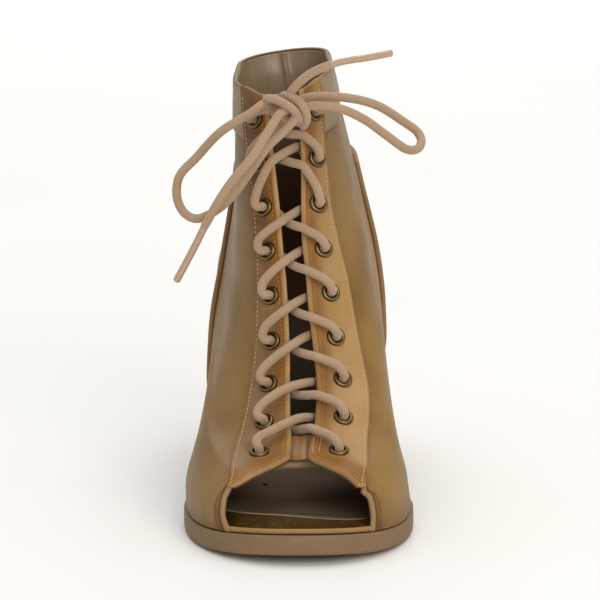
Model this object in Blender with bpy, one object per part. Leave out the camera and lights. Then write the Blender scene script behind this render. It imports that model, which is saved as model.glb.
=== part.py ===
"""Right peep toe ankle boot: a laced upper, open from toe to collar, on a thin sole and a block heel.

Lengths are in millimetres and become metres when a mesh is made. The toe points along -Y, +X is the big
toe side and Z is up from the ground. "d" is the distance back from the tip of the sole, "level" runs up
the upper from the sole (0) to the collar (1), and "arc" is the distance along a level from the front
middle, positive on the big toe side. "lift" is a distance out from the upper's own surface.
"""
import math
from collections import namedtuple
from functools import lru_cache

import bmesh
import bpy
import numpy as np
from mathutils import Vector

MM = 0.001
GAP = 0.3
BOOT_MIDDLE = 116.4
WALL = 2.0
SOLE_EDGE = 0.8
SOLE_BEVEL = 1.0
INSOLE_CLEAR = 2.4
TOE_WRAP_DEPTH = 14.0
TOE_WRAP_SPAN = 25.2
TOE_WRAP_THICK = 2.6
HEEL_BREAST = 170.0
HEEL_TAPER = 0.15
HEEL_CENTRE = 200.0
EYESTAY_STEP = 0.8
COUNTER_THICK = 1.3
COLLAR_BAND_THICK = 1.1
TAB_HALF_WIDTH = 9.0
TAB_THICK = 1.2
OVERLAY_GAP = 0.4
EYELET_ROWS = 9
EYELET_PITCH = 18.7
EYELET_HOLE = 3.0
EYELET_SEAT = 0.6
THROAT_FOOT = 0.30
CORD_RADIUS = 1.9
KNOT_AT = (-3.0, 113.0, 161.3)
KNOT_RADII = (5.2, 4.2, 4.8)
KNOT_CLEAR = 0.85

# Levels and columns of the upper's own net, which its overlays share.
EYESTAY_COLUMNS = 5
QUARTER_COLUMNS = 9
COUNTER_COLUMNS = 10
COUNTER_LEVELS = (0.03, 0.06, 0.095, 0.13, 0.175, 0.235, 0.288, 0.33, 0.38, 0.44, 0.51, 0.58, 0.63, 0.65)
COLLAR_BAND_LEVELS = (0.915, 0.96, 1.0)
PLAIN_LEVELS = (0.0, 0.15, 0.205, 0.262, 0.72, 0.79, 0.86)
UPPER_LEVELS = tuple(sorted(PLAIN_LEVELS + COUNTER_LEVELS + COLLAR_BAND_LEVELS))

# Side view of the sole: height of its top and its thickness, from the sprung toe to the heel seat.
Sole = namedtuple("Sole", "d top thick")
SOLE = (
    Sole(0, 12.5, 8.0),
    Sole(14, 10.2, 8.0),
    Sole(28, 8.7, 8.0),
    Sole(42, 8.0, 8.0),
    Sole(86, 8.0, 8.0),
    Sole(104, 12.0, 7.0),
    Sole(124, 22.0, 6.0),
    Sole(144, 34.5, 5.5),
    Sole(162, 45.0, 5.0),
    Sole(178, 52.0, 5.0),
    Sole(195, 56.5, 5.0),
    Sole(230, 61.0, 5.0),
)

# The last, as levels from the sole to the collar: where each begins in front and ends behind, its half
# widths at the ball, the waist and the heel, and the shares of its length that round off at either end.
Section = namedtuple(
    "Section", "level front_x front_d front_z back_x back_d back_z fore mid rear nose tail"
)
SECTIONS = (
    Section(0.00, 0.5, 3.5, 12.2, 0.0, 222.0, 60.5, 45.2, 31.0, 29.0, 0.30, 0.16),
    Section(0.06, -0.5, 4.5, 19.0, 0.0, 226.0, 69.0, 44.6, 34.0, 32.0, 0.30, 0.16),
    Section(0.13, -0.5, 9.0, 26.0, 0.5, 228.0, 78.0, 41.8, 35.2, 33.2, 0.30, 0.16),
    Section(0.20, 0.2, 20.0, 30.5, 0.6, 228.3, 87.0, 39.2, 35.6, 32.8, 0.29, 0.16),
    Section(0.30, 1.2, 40.0, 34.0, 0.6, 227.3, 98.0, 36.4, 35.0, 31.3, 0.28, 0.17),
    Section(0.45, 3.2, 70.0, 56.0, 0.5, 224.5, 114.0, 32.4, 31.9, 28.4, 0.30, 0.18),
    Section(0.62, 2.0, 88.0, 89.0, 0.0, 221.5, 132.0, 27.5, 27.2, 25.0, 0.32, 0.20),
    Section(0.80, -1.8, 104.0, 123.0, -2.0, 220.0, 151.0, 23.8, 23.6, 22.5, 0.32, 0.22),
    Section(1.00, -5.8, 124.0, 166.5, -5.2, 221.0, 173.0, 19.7, 20.0, 19.0, 0.32, 0.18),
)
NOSE_POWER = 2.2
ARCH_SHIFT = -3.0
ARCH_LEVELS = 0.2
SAG_POWER = 2.2

# How far the collar stands higher beside the throat than at its edge, and the level that this starts from.
COLLAR_VEE = 3.5
COLLAR_VEE_FROM = 0.92

# How far the shaft is tipped sideways, as a rise over the width towards the big toe side.
Tip = namedtuple("Tip", "level rise")
TIP = (
    Tip(0.00, 0.00),
    Tip(0.20, 0.00),
    Tip(0.36, 0.06),
    Tip(0.80, 0.08),
    Tip(1.00, 0.14),
)

# Foot bed: its thickness, which is greatest under the toes.
Bed = namedtuple("Bed", "d thick")
BED = (
    Bed(0, 6.2),
    Bed(60, 6.2),
    Bed(110, 3.4),
    Bed(230, 3.0),
)

# Front opening: half widths from the front middle to its edge and to the eyestay's outer seam, on the big
# toe side (inner) and on the other.
Opening = namedtuple("Opening", "level edge_inner edge_outer seam_inner seam_outer")
OPENING = (
    Opening(0.00, 27.6, 27.6, 27.6, 27.6),
    Opening(0.05, 28.8, 28.8, 28.8, 28.8),
    Opening(0.10, 27.6, 27.6, 27.6, 27.6),
    Opening(0.13, 25.2, 25.2, 25.2, 25.2),
    Opening(0.16, 21.8, 21.8, 25.6, 25.6),
    Opening(0.20, 17.0, 17.0, 26.0, 26.0),
    Opening(0.24, 11.2, 11.8, 26.0, 26.0),
    Opening(0.27, 6.4, 8.2, 25.8, 25.8),
    Opening(0.29, 3.2, 5.5, 25.7, 25.6),
    Opening(0.30, 2.4, 4.4, 25.6, 25.4),
    Opening(0.34, 2.6, 4.5, 25.6, 24.2),
    Opening(0.38, 4.0, 5.5, 25.4, 23.1),
    Opening(0.45, 4.3, 6.4, 23.5, 21.2),
    Opening(0.53, 3.2, 6.1, 21.4, 19.3),
    Opening(0.62, 2.0, 6.1, 18.9, 17.9),
    Opening(0.71, 2.0, 5.9, 15.9, 16.5),
    Opening(0.80, 3.5, 5.3, 14.5, 15.8),
    Opening(0.88, 5.1, 5.7, 14.3, 16.2),
    Opening(0.96, 6.3, 6.2, 14.5, 16.4),
    Opening(1.00, 6.8, 6.5, 14.6, 16.3),
)
CORNER_LEVEL = 0.15

# How far the eyelets stand back from the opening's edge on either side.
Inset = namedtuple("Inset", "level inner outer")
INSET = (
    Inset(0.30, 13.0, 13.0),
    Inset(0.38, 12.4, 10.8),
    Inset(0.45, 11.2, 9.0),
    Inset(0.53, 9.8, 7.6),
    Inset(0.62, 9.8, 7.2),
    Inset(0.71, 8.6, 7.0),
    Inset(0.80, 7.2, 6.8),
    Inset(1.00, 6.8, 6.8),
)
SIDE_NAMES = {1: "inner", -1: "outer"}

# Share of each level at which the heel counter's front edge stands, and its line above the counter.
Counter = namedtuple("Counter", "level front")
COUNTER = (
    Counter(0.00, 0.62),
    Counter(0.12, 0.60),
    Counter(0.22, 0.59),
    Counter(0.40, 0.60),
    Counter(0.51, 0.63),
    Counter(0.58, 0.67),
    Counter(0.63, 0.72),
    Counter(0.65, 0.76),
    Counter(1.00, 0.76),
)

# One lace strand from an eyelet to the next one on the other side: share of the pitch climbed, share of
# the way from its own eyelet (-1) over the throat's two edges to the far one (+1), and the height over
# the upper's surface.
STRAND_EDGE = 0.35
Strand = namedtuple("Strand", "climb across lift")
STRAND_OVER = (
    Strand(0.00, -1.00, 4.6),
    Strand(0.20, -1.00, 5.4),
    Strand(0.45, -0.66, 5.2),
    Strand(0.64, -0.35, 4.0),
    Strand(0.80, -0.12, 1.0),
    Strand(0.94, 0.12, -2.1),
    Strand(1.04, 0.35, -5.2),
    Strand(1.06, 0.52, -5.8),
    Strand(1.00, 0.95, -5.5),
)
STRAND_UNDER = (
    Strand(0.00, -1.00, 4.6),
    Strand(0.18, -1.00, 5.3),
    Strand(0.36, -0.66, 5.0),
    Strand(0.50, -0.35, 4.0),
    Strand(0.64, -0.12, 1.0),
    Strand(0.77, 0.12, -2.1),
    Strand(0.88, 0.35, -5.2),
    Strand(0.95, 0.52, -5.8),
    Strand(1.00, 0.95, -5.5),
)
# How much higher than that the strands of each row arch over the throat, as a share of the pitch.
STRAND_ARCH = (0.28, 0.14, 0.14, 0.02, 0.08, 0.0, 0.38, 0.04)
BAR_DEPTH = 5.0
BAR_RISE = 0.013

# The bow: its two loops and two loose ends.
Bow = namedtuple("Bow", "x d z")
LOOP_OUTER = (
    Bow(-9, 114, 166),
    Bow(-20, 109, 160),
    Bow(-31, 110, 153),
    Bow(-41, 113, 142),
    Bow(-48, 114, 134),
    Bow(-49, 113, 126),
    Bow(-46, 109, 120),
    Bow(-41, 106, 118),
    Bow(-34, 104, 121),
    Bow(-27, 103, 127),
    Bow(-19, 102, 138),
    Bow(-12, 102, 148),
    Bow(-5, 107, 153),
)
LOOP_INNER = (
    Bow(3, 113, 167),
    Bow(17, 112, 167),
    Bow(32, 116, 163),
    Bow(44, 119.6, 155),
    Bow(49.4, 120.8, 151),
    Bow(51, 120.2, 148),
    Bow(49.4, 118.8, 145.4),
    Bow(45, 117.3, 145.6),
    Bow(36, 114, 152),
    Bow(27, 111, 158),
    Bow(17, 107, 162),
    Bow(4, 106, 160),
)
END_OUTER = (
    Bow(-9, 104, 161),
    Bow(-12, 98, 154),
    Bow(-18, 96, 145),
    Bow(-27, 96, 134),
    Bow(-35, 97, 121),
    Bow(-42, 98, 107),
    Bow(-49, 97, 94),
)
END_INNER = (
    Bow(-3, 109, 168),
    Bow(5, 106, 177),
    Bow(17, 105, 182),
    Bow(28, 104, 184),
    Bow(38, 103, 186),
)

# Name of each surface: colour, roughness, metallic.
Finish = namedtuple("Finish", "colour roughness metallic")
TAN = Finish((0.36, 0.23, 0.11, 1), 0.5, 0)
BROWN = Finish((0.20, 0.12, 0.06, 1), 0.5, 0)
GOLD_TAN = Finish((0.42, 0.25, 0.10, 1), 0.5, 0)
TAUPE = Finish((0.13, 0.09, 0.06, 1), 0.6, 0)
SOCK = Finish((0.05, 0.045, 0.04, 1), 0.8, 0)
BRASS = Finish((0.33, 0.25, 0.13, 1), 0.4, 1)
CORD = Finish((0.45, 0.30, 0.19, 1), 0.85, 0)


def smooth(xs, ys, x):
    """Value at x of a cubic through the points that never overshoots them."""
    xs = np.asarray(xs, float)
    ys = np.asarray(ys, float)
    step = np.diff(xs)
    rise = np.diff(ys) / step
    slope = np.zeros(len(xs))
    slope[0], slope[-1] = rise[0], rise[-1]
    for i in range(1, len(xs) - 1):
        if rise[i - 1] * rise[i] > 0:
            a, b = 2 * step[i] + step[i - 1], step[i] + 2 * step[i - 1]
            slope[i] = (a + b) / (a / rise[i - 1] + b / rise[i])
    x = np.clip(x, xs[0], xs[-1])
    i = np.clip(np.searchsorted(xs, x, side="right") - 1, 0, len(xs) - 2)
    t = (x - xs[i]) / step[i]
    near = (1 + 2 * t) * (1 - t) ** 2 * ys[i] + t * (1 - t) ** 2 * step[i] * slope[i]
    far = t * t * (3 - 2 * t) * ys[i + 1] + t * t * (t - 1) * step[i] * slope[i + 1]
    return near + far


def read(rows, name, key):
    """Value of one column of a table at key, which runs along the table's first column."""
    return smooth([row[0] for row in rows], [getattr(row, name) for row in rows], key)


def sole_top(d):
    """Height of the sole's upper side."""
    return read(SOLE, "top", d)


def sole_bottom(d):
    """Height of the sole's underside."""
    return sole_top(d) - read(SOLE, "thick", d)


def sag(d):
    """How far the sole's top hangs below a straight line from the toe to the heel."""
    first = SECTIONS[0]
    along = (d - first.front_d) / (first.back_d - first.front_d)
    return sole_top(d) + GAP - (first.front_z + (first.back_z - first.front_z) * along)


def ring(level, share, side):
    """Points of one side of a level; share runs from 0 in front to 1 behind, side is +1 at the big toe."""
    row = Section(level, *(float(read(SECTIONS, name, level)) for name in Section._fields[1:]))
    d = row.front_d + (row.back_d - row.front_d) * share
    z = row.front_z + (row.back_z - row.front_z) * share
    ends = sag(row.front_d) * (1 - share) + sag(row.back_d) * share
    z = z + (1 - level) ** SAG_POWER * (sag(d) - ends)
    width = smooth([0, 0.3, 0.58, 0.85, 1], [row.fore, row.fore, row.mid, row.rear, row.rear], share)
    toe = np.clip(1 - share / row.nose, 0, 1)
    heel = np.clip((share - 1 + row.tail) / row.tail, 0, 1)
    for end in (toe, heel):
        width = width * (1 - end ** NOSE_POWER) ** (1 / NOSE_POWER)
    arch = ARCH_SHIFT * max(0.0, 1 - level / ARCH_LEVELS) ** 1.5
    middle = row.front_x * (1 - share) + row.back_x * share
    middle = middle + arch * smooth([0, 0.3, 0.58, 0.85, 1], [0, 0, 1, 0, 0], share)
    vee = COLLAR_VEE * smooth([0, COLLAR_VEE_FROM, 1], [0, 0, 1], level)
    z = z + vee * smooth([0, 0.1, 0.2, 0.55, 1], [0, 1, 1, 0, 0], share)
    z = z + side * width * float(read(TIP, "rise", level))
    return np.stack([middle + side * width, d, z], axis=-1)


SHARES = (1 - np.cos(np.linspace(0, math.pi, 401))) / 2


@lru_cache(maxsize=None)
def girth(level):
    """One level as a closed line: its lengths from the front middle, its points, the length to the back."""
    inner = ring(level, SHARES, 1)
    outer = ring(level, SHARES[::-1], -1)
    points = np.concatenate([inner, outer[1:]])
    lengths = np.concatenate([[0], np.cumsum(np.linalg.norm(np.diff(points, axis=0), axis=1))])
    return lengths, points, lengths[len(SHARES) - 1]


def on_level(level, arc):
    """Points of a level at the given arcs."""
    lengths, points, _ = girth(level)
    arc = np.mod(arc, lengths[-1])
    return np.stack([np.interp(arc, lengths, points[:, k]) for k in range(3)], axis=-1)


def normal_at(level, arc):
    """Unit normals out of the upper."""
    level = float(level)
    along = on_level(level, arc + 0.6) - on_level(level, arc - 0.6)
    up = on_level(min(level + 0.004, 1.0), arc) - on_level(max(level - 0.004, 0.0), arc)
    normal = np.cross(along, up)
    return normal / np.linalg.norm(normal, axis=-1, keepdims=True)


def skin(level, arc, lift=0.0):
    """Points of the upper's outer surface, raised by lift."""
    arc = np.asarray(arc, float)
    return on_level(float(level), arc) + normal_at(level, arc) * np.asarray(lift, float)[..., None]


def half_lengths(level):
    """Lengths from the front middle to the back middle, on the big toe side and on the other."""
    lengths, _, back = girth(float(level))
    return back, lengths[-1] - back


def arc_at_width(level, half, side):
    """Arc at which a level has spread to the half width on one side."""
    lengths, points, _ = girth(float(level))
    if side < 0:
        lengths, points = (lengths[-1] - lengths)[::-1], points[::-1]
    spread = (points[:, 0] - points[0, 0]) * side
    widest = int(np.argmax(spread[:len(SHARES)])) + 1
    return float(np.interp(half, spread[:widest], lengths[:widest]))


def throat_arc(level, side):
    """Arc from the front middle to the opening's edge."""
    return arc_at_width(level, float(read(OPENING, f"edge_{SIDE_NAMES[side]}", level)), side)


def arc_at_share(level, share, side):
    """Arc at a share of the way from the front of a level to its back."""
    lengths, _, _ = girth(float(level))
    if side < 0:
        lengths = (lengths[-1] - lengths)[::-1]
    return float(np.interp(share, SHARES, lengths[:len(SHARES)]))


def material(name, finish):
    """A plain surface of one colour."""
    surface = bpy.data.materials.new(name)
    surface.use_nodes = True
    shader = surface.node_tree.nodes["Principled BSDF"]
    shader.inputs["Base Color"].default_value = finish.colour
    shader.inputs["Roughness"].default_value = finish.roughness
    shader.inputs["Metallic"].default_value = finish.metallic
    surface.diffuse_color = finish.colour
    return surface


def to_metres(point):
    """A point in the boot's frame, whose origin is on the ground under the boot's middle."""
    return Vector((point[0] * MM, (point[1] - BOOT_MIDDLE) * MM, point[2] * MM))


def add_mesh(name, points, faces, finish):
    """A solid from its corners and faces."""
    mesh = bpy.data.meshes.new(name)
    mesh.from_pydata([to_metres(p) for p in points], [], faces)
    work = bmesh.new()
    work.from_mesh(mesh)
    bmesh.ops.recalc_face_normals(work, faces=work.faces)
    work.to_mesh(mesh)
    work.free()
    mesh.shade_smooth()
    mesh.set_sharp_from_angle(angle=math.radians(40))
    piece = bpy.data.objects.new(name, mesh)
    bpy.context.scene.collection.objects.link(piece)
    mesh.materials.append(material(name, finish))
    return piece


def add_sheet(name, outer, inner, finish):
    """A bent sheet between two grids of points, closed along its four edges."""
    rows, cols = len(outer), len(outer[0])
    points = [p for row in outer for p in row] + [p for row in inner for p in row]
    back = rows * cols
    faces = []
    for r in range(rows - 1):
        for c in range(cols - 1):
            a, b = r * cols + c, r * cols + c + 1
            for face in ((a, b, b + cols), (a, b + cols, a + cols)):
                faces.append(face)
                faces.append(tuple(back + i for i in reversed(face)))
    rim = list(range(cols))
    rim += [r * cols + cols - 1 for r in range(1, rows)]
    rim += [(rows - 1) * cols + c for c in range(cols - 2, -1, -1)]
    rim += [r * cols for r in range(rows - 2, 0, -1)]
    for a, b in zip(rim, rim[1:] + rim[:1]):
        faces.append((a, back + a, back + b, b))
    return add_mesh(name, points, faces, finish)


def add_stack(name, loops, finish):
    """A solid between closed loops stacked on one another; loops run round from the front middle."""
    count = len(loops[0])
    points = [p for loop in loops for p in loop]
    faces = []
    for k in range(len(loops) - 1):
        for i in range(count):
            j = (i + 1) % count
            faces.append((k * count + i, k * count + j, (k + 1) * count + j, (k + 1) * count + i))
    for base in (0, (len(loops) - 1) * count):
        faces.append((base, base + 1, base + count - 1))
        faces.append((base + count // 2 - 1, base + count // 2, base + count // 2 + 1))
        for i in range(1, count // 2 - 1):
            faces.append((base + i, base + i + 1, base + count - i - 1, base + count - i))
    return add_mesh(name, points, faces, finish)


def add_loft(name, profiles, finish):
    """A solid through closed profiles, one after another, capped at both ends."""
    count = len(profiles[0])
    points = [p for profile in profiles for p in profile]
    faces = [tuple(range(count)), tuple(range(len(points) - count, len(points)))]
    for k in range(len(profiles) - 1):
        for i in range(count):
            j = (i + 1) % count
            faces.append((k * count + i, k * count + j, (k + 1) * count + j, (k + 1) * count + i))
    return add_mesh(name, points, faces, finish)


def combine(piece, other, operation):
    """Join another solid to a piece, or cut it out of it."""
    change = piece.modifiers.new(operation.lower(), "BOOLEAN")
    change.operation = operation
    change.solver = "EXACT"
    change.object = other
    whole = bpy.data.meshes.new_from_object(piece.evaluated_get(bpy.context.evaluated_depsgraph_get()))
    piece.modifiers.clear()
    piece.data = whole
    whole.name = piece.name
    bpy.data.objects.remove(other)
    return piece


def bend_through(points, count):
    """A smooth line through the points, as count points evenly along it."""
    points = np.asarray(points, float)
    padded = np.concatenate([[2 * points[0] - points[1]], points, [2 * points[-1] - points[-2]]])
    fine = []
    for i in range(len(points) - 1):
        p0, p1, p2, p3 = padded[i:i + 4]
        for t in np.linspace(0, 1, 12, endpoint=False):
            fine.append(0.5 * (2 * p1 + (p2 - p0) * t + (2 * p0 - 5 * p1 + 4 * p2 - p3) * t * t
                               + (3 * p1 - p0 - 3 * p2 + p3) * t ** 3))
    fine = np.array(fine + [points[-1]])
    at = np.concatenate([[0], np.cumsum(np.linalg.norm(np.diff(fine, axis=0), axis=1))])
    even = np.linspace(0, at[-1], count)
    return np.stack([np.interp(even, at, fine[:, k]) for k in range(3)], axis=-1)


def add_tube(name, line, radius, finish, sides=8):
    """A round cord along a line."""
    line = np.asarray(line, float)
    tangents = np.gradient(line, axis=0)
    tangents /= np.linalg.norm(tangents, axis=1, keepdims=True)
    across = np.cross(tangents[0], [0.3, 0.2, 1.0])
    profiles = []
    for p, t in zip(line, tangents):
        across = across - t * np.dot(across, t)
        across /= np.linalg.norm(across)
        other = np.cross(t, across)
        turns = np.arange(sides) * 2 * math.pi / sides
        profiles.append([p + radius * (math.cos(a) * across + math.sin(a) * other) for a in turns])
    return add_loft(name, profiles, finish)


def plan_line(arcs, grow):
    """Points of the sole's outline in plan, moved outwards by grow."""
    here = on_level(0.0, arcs)
    along = on_level(0.0, arcs + 0.8) - on_level(0.0, arcs - 0.8)
    along[:, 2] = 0
    along /= np.linalg.norm(along, axis=1, keepdims=True)
    out = np.stack([along[:, 1], -along[:, 0], np.zeros(len(along))], axis=-1)
    return here + out * np.asarray(grow, float).reshape(-1, 1)


def outline_arcs(steps):
    """Arcs round the sole's whole outline, in pairs on its two sides."""
    inner, outer = half_lengths(0.0)
    u = np.linspace(0, 1, steps + 1)
    u = 0.45 * u + 0.55 * (1 - np.cos(math.pi * u)) / 2
    return np.concatenate([inner * u, -outer * u[-2:0:-1]])


def at_height(line, height):
    """The line with each point at the height given for its d."""
    line = line.copy()
    line[:, 2] = height(line[:, 1])
    return line


def make_outsole():
    """Thin sole with a sprung toe, a flat tread and an arched waist, bevelled underneath."""
    arcs = outline_arcs(30)
    edge = plan_line(arcs, SOLE_EDGE)
    tread = plan_line(arcs, SOLE_EDGE - SOLE_BEVEL)
    loops = [
        at_height(edge, sole_top),
        at_height(edge, lambda d: sole_bottom(d) + SOLE_BEVEL),
        at_height(tread, sole_bottom),
    ]
    add_stack("outsole", loops, TAUPE)


def make_heel():
    """Block heel under the heel seat, a little smaller at the ground than at the top."""
    inner, outer = half_lengths(0.0)
    first = on_level(0.0, np.linspace(0, inner, 400))[:, 1]
    start_inner = float(np.interp(HEEL_BREAST, first, np.linspace(0, inner, 400)))
    second = on_level(0.0, -np.linspace(0, outer, 400))[:, 1]
    start_outer = float(np.interp(HEEL_BREAST, second, np.linspace(0, outer, 400)))
    round_inner = plan_line(np.linspace(start_inner, inner, 13), -0.8)
    round_outer = plan_line(-np.linspace(outer, start_outer, 13)[1:], -0.8)
    ends = round_inner[0], round_outer[-1]
    breast = [ends[0] + (ends[1] - ends[0]) * f for f in (0.5, 0.35, 0.18)]
    for p, bow in zip(breast, (2.0, 1.8, 1.1)):
        p[1] += bow
    other = [ends[0] + (ends[1] - ends[0]) * f for f in (0.82, 0.65)]
    for p, bow in zip(other, (1.1, 1.8)):
        p[1] += bow
    outline = np.array(breast + list(round_inner) + list(round_outer) + other)
    top = at_height(outline, lambda d: sole_bottom(d) - GAP)
    loops = []
    for drop in (0.0, 0.3, 0.65, 1.0):
        loop = top.copy()
        shrink = 1 - HEEL_TAPER * drop ** 0.8
        loop[:, 0] *= shrink
        loop[:, 1] = HEEL_CENTRE + (loop[:, 1] - HEEL_CENTRE) * shrink
        loop[:, 2] = top[:, 2] * (1 - drop)
        loops.append(loop)
    add_stack("heel", loops, TAUPE)


def toe_wrap_arcs(side):
    """Arc at which the toe wrap ends on one side."""
    return arc_at_width(0.0, TOE_WRAP_SPAN, side)


def make_insole():
    """Foot bed inside the upper, ending behind the toe wrap."""
    arcs = outline_arcs(30)
    grow = []
    for arc in arcs:
        clear = toe_wrap_arcs(1 if arc >= 0 else -1) + 1.0
        back = np.clip((abs(arc) - clear) / 16.0, 0, 1)
        back = back * back * (3 - 2 * back)
        grow.append(-(TOE_WRAP_DEPTH + GAP) * (1 - back) - (WALL + INSOLE_CLEAR) * back)
    line = plan_line(arcs, grow)
    loops = [
        at_height(line, lambda d: sole_top(d) + GAP + read(BED, "thick", d)),
        at_height(line, lambda d: sole_top(d) + GAP),
    ]
    add_stack("insole", loops, SOCK)


def make_toe_wrap():
    """Leather strip over the front of the foot bed, across the peep toe."""
    arcs = np.linspace(-toe_wrap_arcs(-1), toe_wrap_arcs(1), 13)
    low = lambda d: sole_top(d) + GAP
    high = lambda d: sole_top(d) + GAP + TOE_WRAP_THICK
    corners = (
        at_height(plan_line(arcs, -0.6), low),
        at_height(plan_line(arcs, -0.6), lambda d: high(d) - 0.9),
        at_height(plan_line(arcs, -1.6), high),
        at_height(plan_line(arcs, -4.0), high),
        at_height(plan_line(arcs, -7.5), lambda d: high(d) - 0.7),
        at_height(plan_line(arcs, -TOE_WRAP_DEPTH), lambda d: low(d) + read(BED, "thick", d)),
        at_height(plan_line(arcs, -TOE_WRAP_DEPTH), low),
    )
    add_loft("toe_wrap", [[corner[i] for corner in corners] for i in range(len(arcs))], GOLD_TAN)


def upper_columns(level):
    """Arcs across the upper at one level, from the big toe side's edge to the other, and their lifts."""
    sides = []
    for side, length in zip((1, -1), half_lengths(level)):
        edge = throat_arc(level, side)
        seam = arc_at_width(level, float(read(OPENING, f"seam_{SIDE_NAMES[side]}", level)), side)
        seam = max(seam, edge + 4.0)
        counter = arc_at_share(level, float(read(COUNTER, "front", level)), side)
        u = np.linspace(0, 1, COUNTER_COLUMNS)
        parts = (
            np.linspace(edge, seam, EYESTAY_COLUMNS),
            np.linspace(seam + 0.5, counter, QUARTER_COLUMNS)[:-1],
            counter + (length - counter) * (1.2 * u - 0.2 * u * u),
        )
        proud = EYESTAY_STEP if level >= CORNER_LEVEL else 0.0
        arcs = np.concatenate(parts)
        sides.append((arcs, np.where(np.arange(len(arcs)) < EYESTAY_COLUMNS, proud, 0.0)))
    (inner, inner_lift), (outer, outer_lift) = sides
    return np.concatenate([inner, -outer[-2::-1]]), np.concatenate([inner_lift, outer_lift[-2::-1]])


def eyelet_places():
    """Level and arc of each eyelet, row by row, on the big toe side (+1) and the other (-1)."""
    levels = np.linspace(THROAT_FOOT, 1.0, 500)
    front = np.stack([read(SECTIONS, "front_d", levels), read(SECTIONS, "front_z", levels)], axis=-1)
    along = np.concatenate([[0], np.cumsum(np.linalg.norm(np.diff(front, axis=0), axis=1))])
    rows = []
    for i in range(EYELET_ROWS):
        level = float(np.interp(i * EYELET_PITCH, along, levels))
        arcs = {}
        for side, place in SIDE_NAMES.items():
            arcs[side] = side * (throat_arc(level, side) + float(read(INSET, place, level)))
        rows.append((level, arcs))
    return rows


def make_upper():
    """One hollow leather upper with raised eyestays, open in front, on top and underneath."""
    outer, inner = [], []
    for level in UPPER_LEVELS:
        arcs, lifts = upper_columns(level)
        outside = skin(level, arcs, lifts)
        inside = skin(level, arcs, np.full(len(arcs), -WALL))
        if level == 0:
            inside[:, 2] = sole_top(inside[:, 1]) + GAP
        outer.append(outside)
        inner.append(inside)
    upper = add_sheet("upper", outer, inner, TAN)
    for level, arcs in eyelet_places():
        for arc in arcs.values():
            profile = ((0, 4.5), (EYELET_HOLE, 4.5), (EYELET_HOLE, -5.5), (0, -5.5))
            drill = add_turned("drill", level, arc, profile, TAN, 12)
            combine(upper, drill, "DIFFERENCE")
    upper.data.shade_smooth()
    upper.data.set_sharp_from_angle(angle=math.radians(40))


def add_turned(name, level, arc, profile, finish, steps):
    """A turned piece square to the upper: its profile gives radius and lift, down its outer side."""
    middle = skin(level, np.array([arc]), np.zeros(1))[0]
    axis = Vector(normal_at(level, np.array([arc]))[0])
    turn = axis.to_track_quat("Z", "Y").to_matrix()
    points, faces, loops = [], [], []
    for radius, lift in profile:
        if radius == 0:
            loops.append([len(points)] * steps)
            points.append(Vector((0, 0, lift)))
            continue
        loops.append([len(points) + i for i in range(steps)])
        for i in range(steps):
            a = 2 * math.pi * i / steps
            points.append(Vector((radius * math.cos(a), radius * math.sin(a), lift)))
    closed = profile[0][0] > 0
    pairs = list(zip(loops, loops[1:])) + ([(loops[-1], loops[0])] if closed else [])
    for upper_loop, lower_loop in pairs:
        for i in range(steps):
            j = (i + 1) % steps
            corners = (upper_loop[i], lower_loop[i], lower_loop[j], upper_loop[j])
            faces.append(tuple(dict.fromkeys(corners)))
    return add_mesh(name, [turn @ p + Vector(middle) for p in points], faces, finish)


def make_eyelets():
    """Brass eyelets through the eyestays."""
    top = EYESTAY_STEP + EYELET_SEAT
    profile = ((2.25, top + 0.45), (3.1, top + 0.9), (4.0, top), (2.65, top), (2.65, -2.5), (2.25, -2.5))
    for row, (level, arcs) in enumerate(eyelet_places(), 1):
        for side, place in SIDE_NAMES.items():
            add_turned(f"eyelet_{place}_{row}", level, arcs[side], profile, BRASS, 10)


def add_overlay(name, levels, arcs_at, low, high, finish):
    """A layer of leather that follows the upper, between two lifts."""
    sheets = []
    for lift in (high, low):
        sheets.append([skin(level, arcs_at(level), np.full(len(arcs_at(level)), lift)) for level in levels])
    return add_sheet(name, sheets[0], sheets[1], finish)


def make_counter():
    """Heel counter laid over the back of the upper."""
    first = EYESTAY_COLUMNS + QUARTER_COLUMNS - 1
    add_overlay("heel_counter", COUNTER_LEVELS, lambda level: upper_columns(level)[0][first:-first],
                OVERLAY_GAP, OVERLAY_GAP + COUNTER_THICK, BROWN)


def make_collar_band():
    """Band round the top edge, from one eyestay to the other."""
    first = EYESTAY_COLUMNS
    add_overlay("collar_band", COLLAR_BAND_LEVELS, lambda level: upper_columns(level)[0][first:-first],
                OVERLAY_GAP, OVERLAY_GAP + COLLAR_BAND_THICK, TAN)


def make_throat_tab():
    """Small tab that joins the two eyestays from below, at the foot of the throat."""
    arcs = np.linspace(-TAB_HALF_WIDTH, TAB_HALF_WIDTH, 7)
    high = -(WALL + GAP + 0.1)
    levels = (0.323, 0.336, 0.35, 0.365)
    add_overlay("throat_tab", levels, lambda level: arcs, high - TAB_THICK, high, GOLD_TAN)


def strand_line(row, side, shape):
    """Line of one strand of the lace, from its eyelet in a row to the next row's on the other side."""
    places = eyelet_places()
    (level, arcs), (next_level, next_arcs) = places[row], places[row + 1]
    points = []
    for step in shape:
        arch = STRAND_ARCH[row] * float(np.interp(abs(step.across), (0.4, 0.95), (1, 0)))
        at = level + (next_level - level) * (step.climb + arch)
        stops = (arcs[side], side * throat_arc(at, side), -side * throat_arc(at, -side), next_arcs[-side])
        arc = float(np.interp(step.across, (-1, -STRAND_EDGE, STRAND_EDGE, 1), stops))
        points.append(skin(at, np.array([arc]), np.array([step.lift]))[0])
    return bend_through(points, 13)


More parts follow.
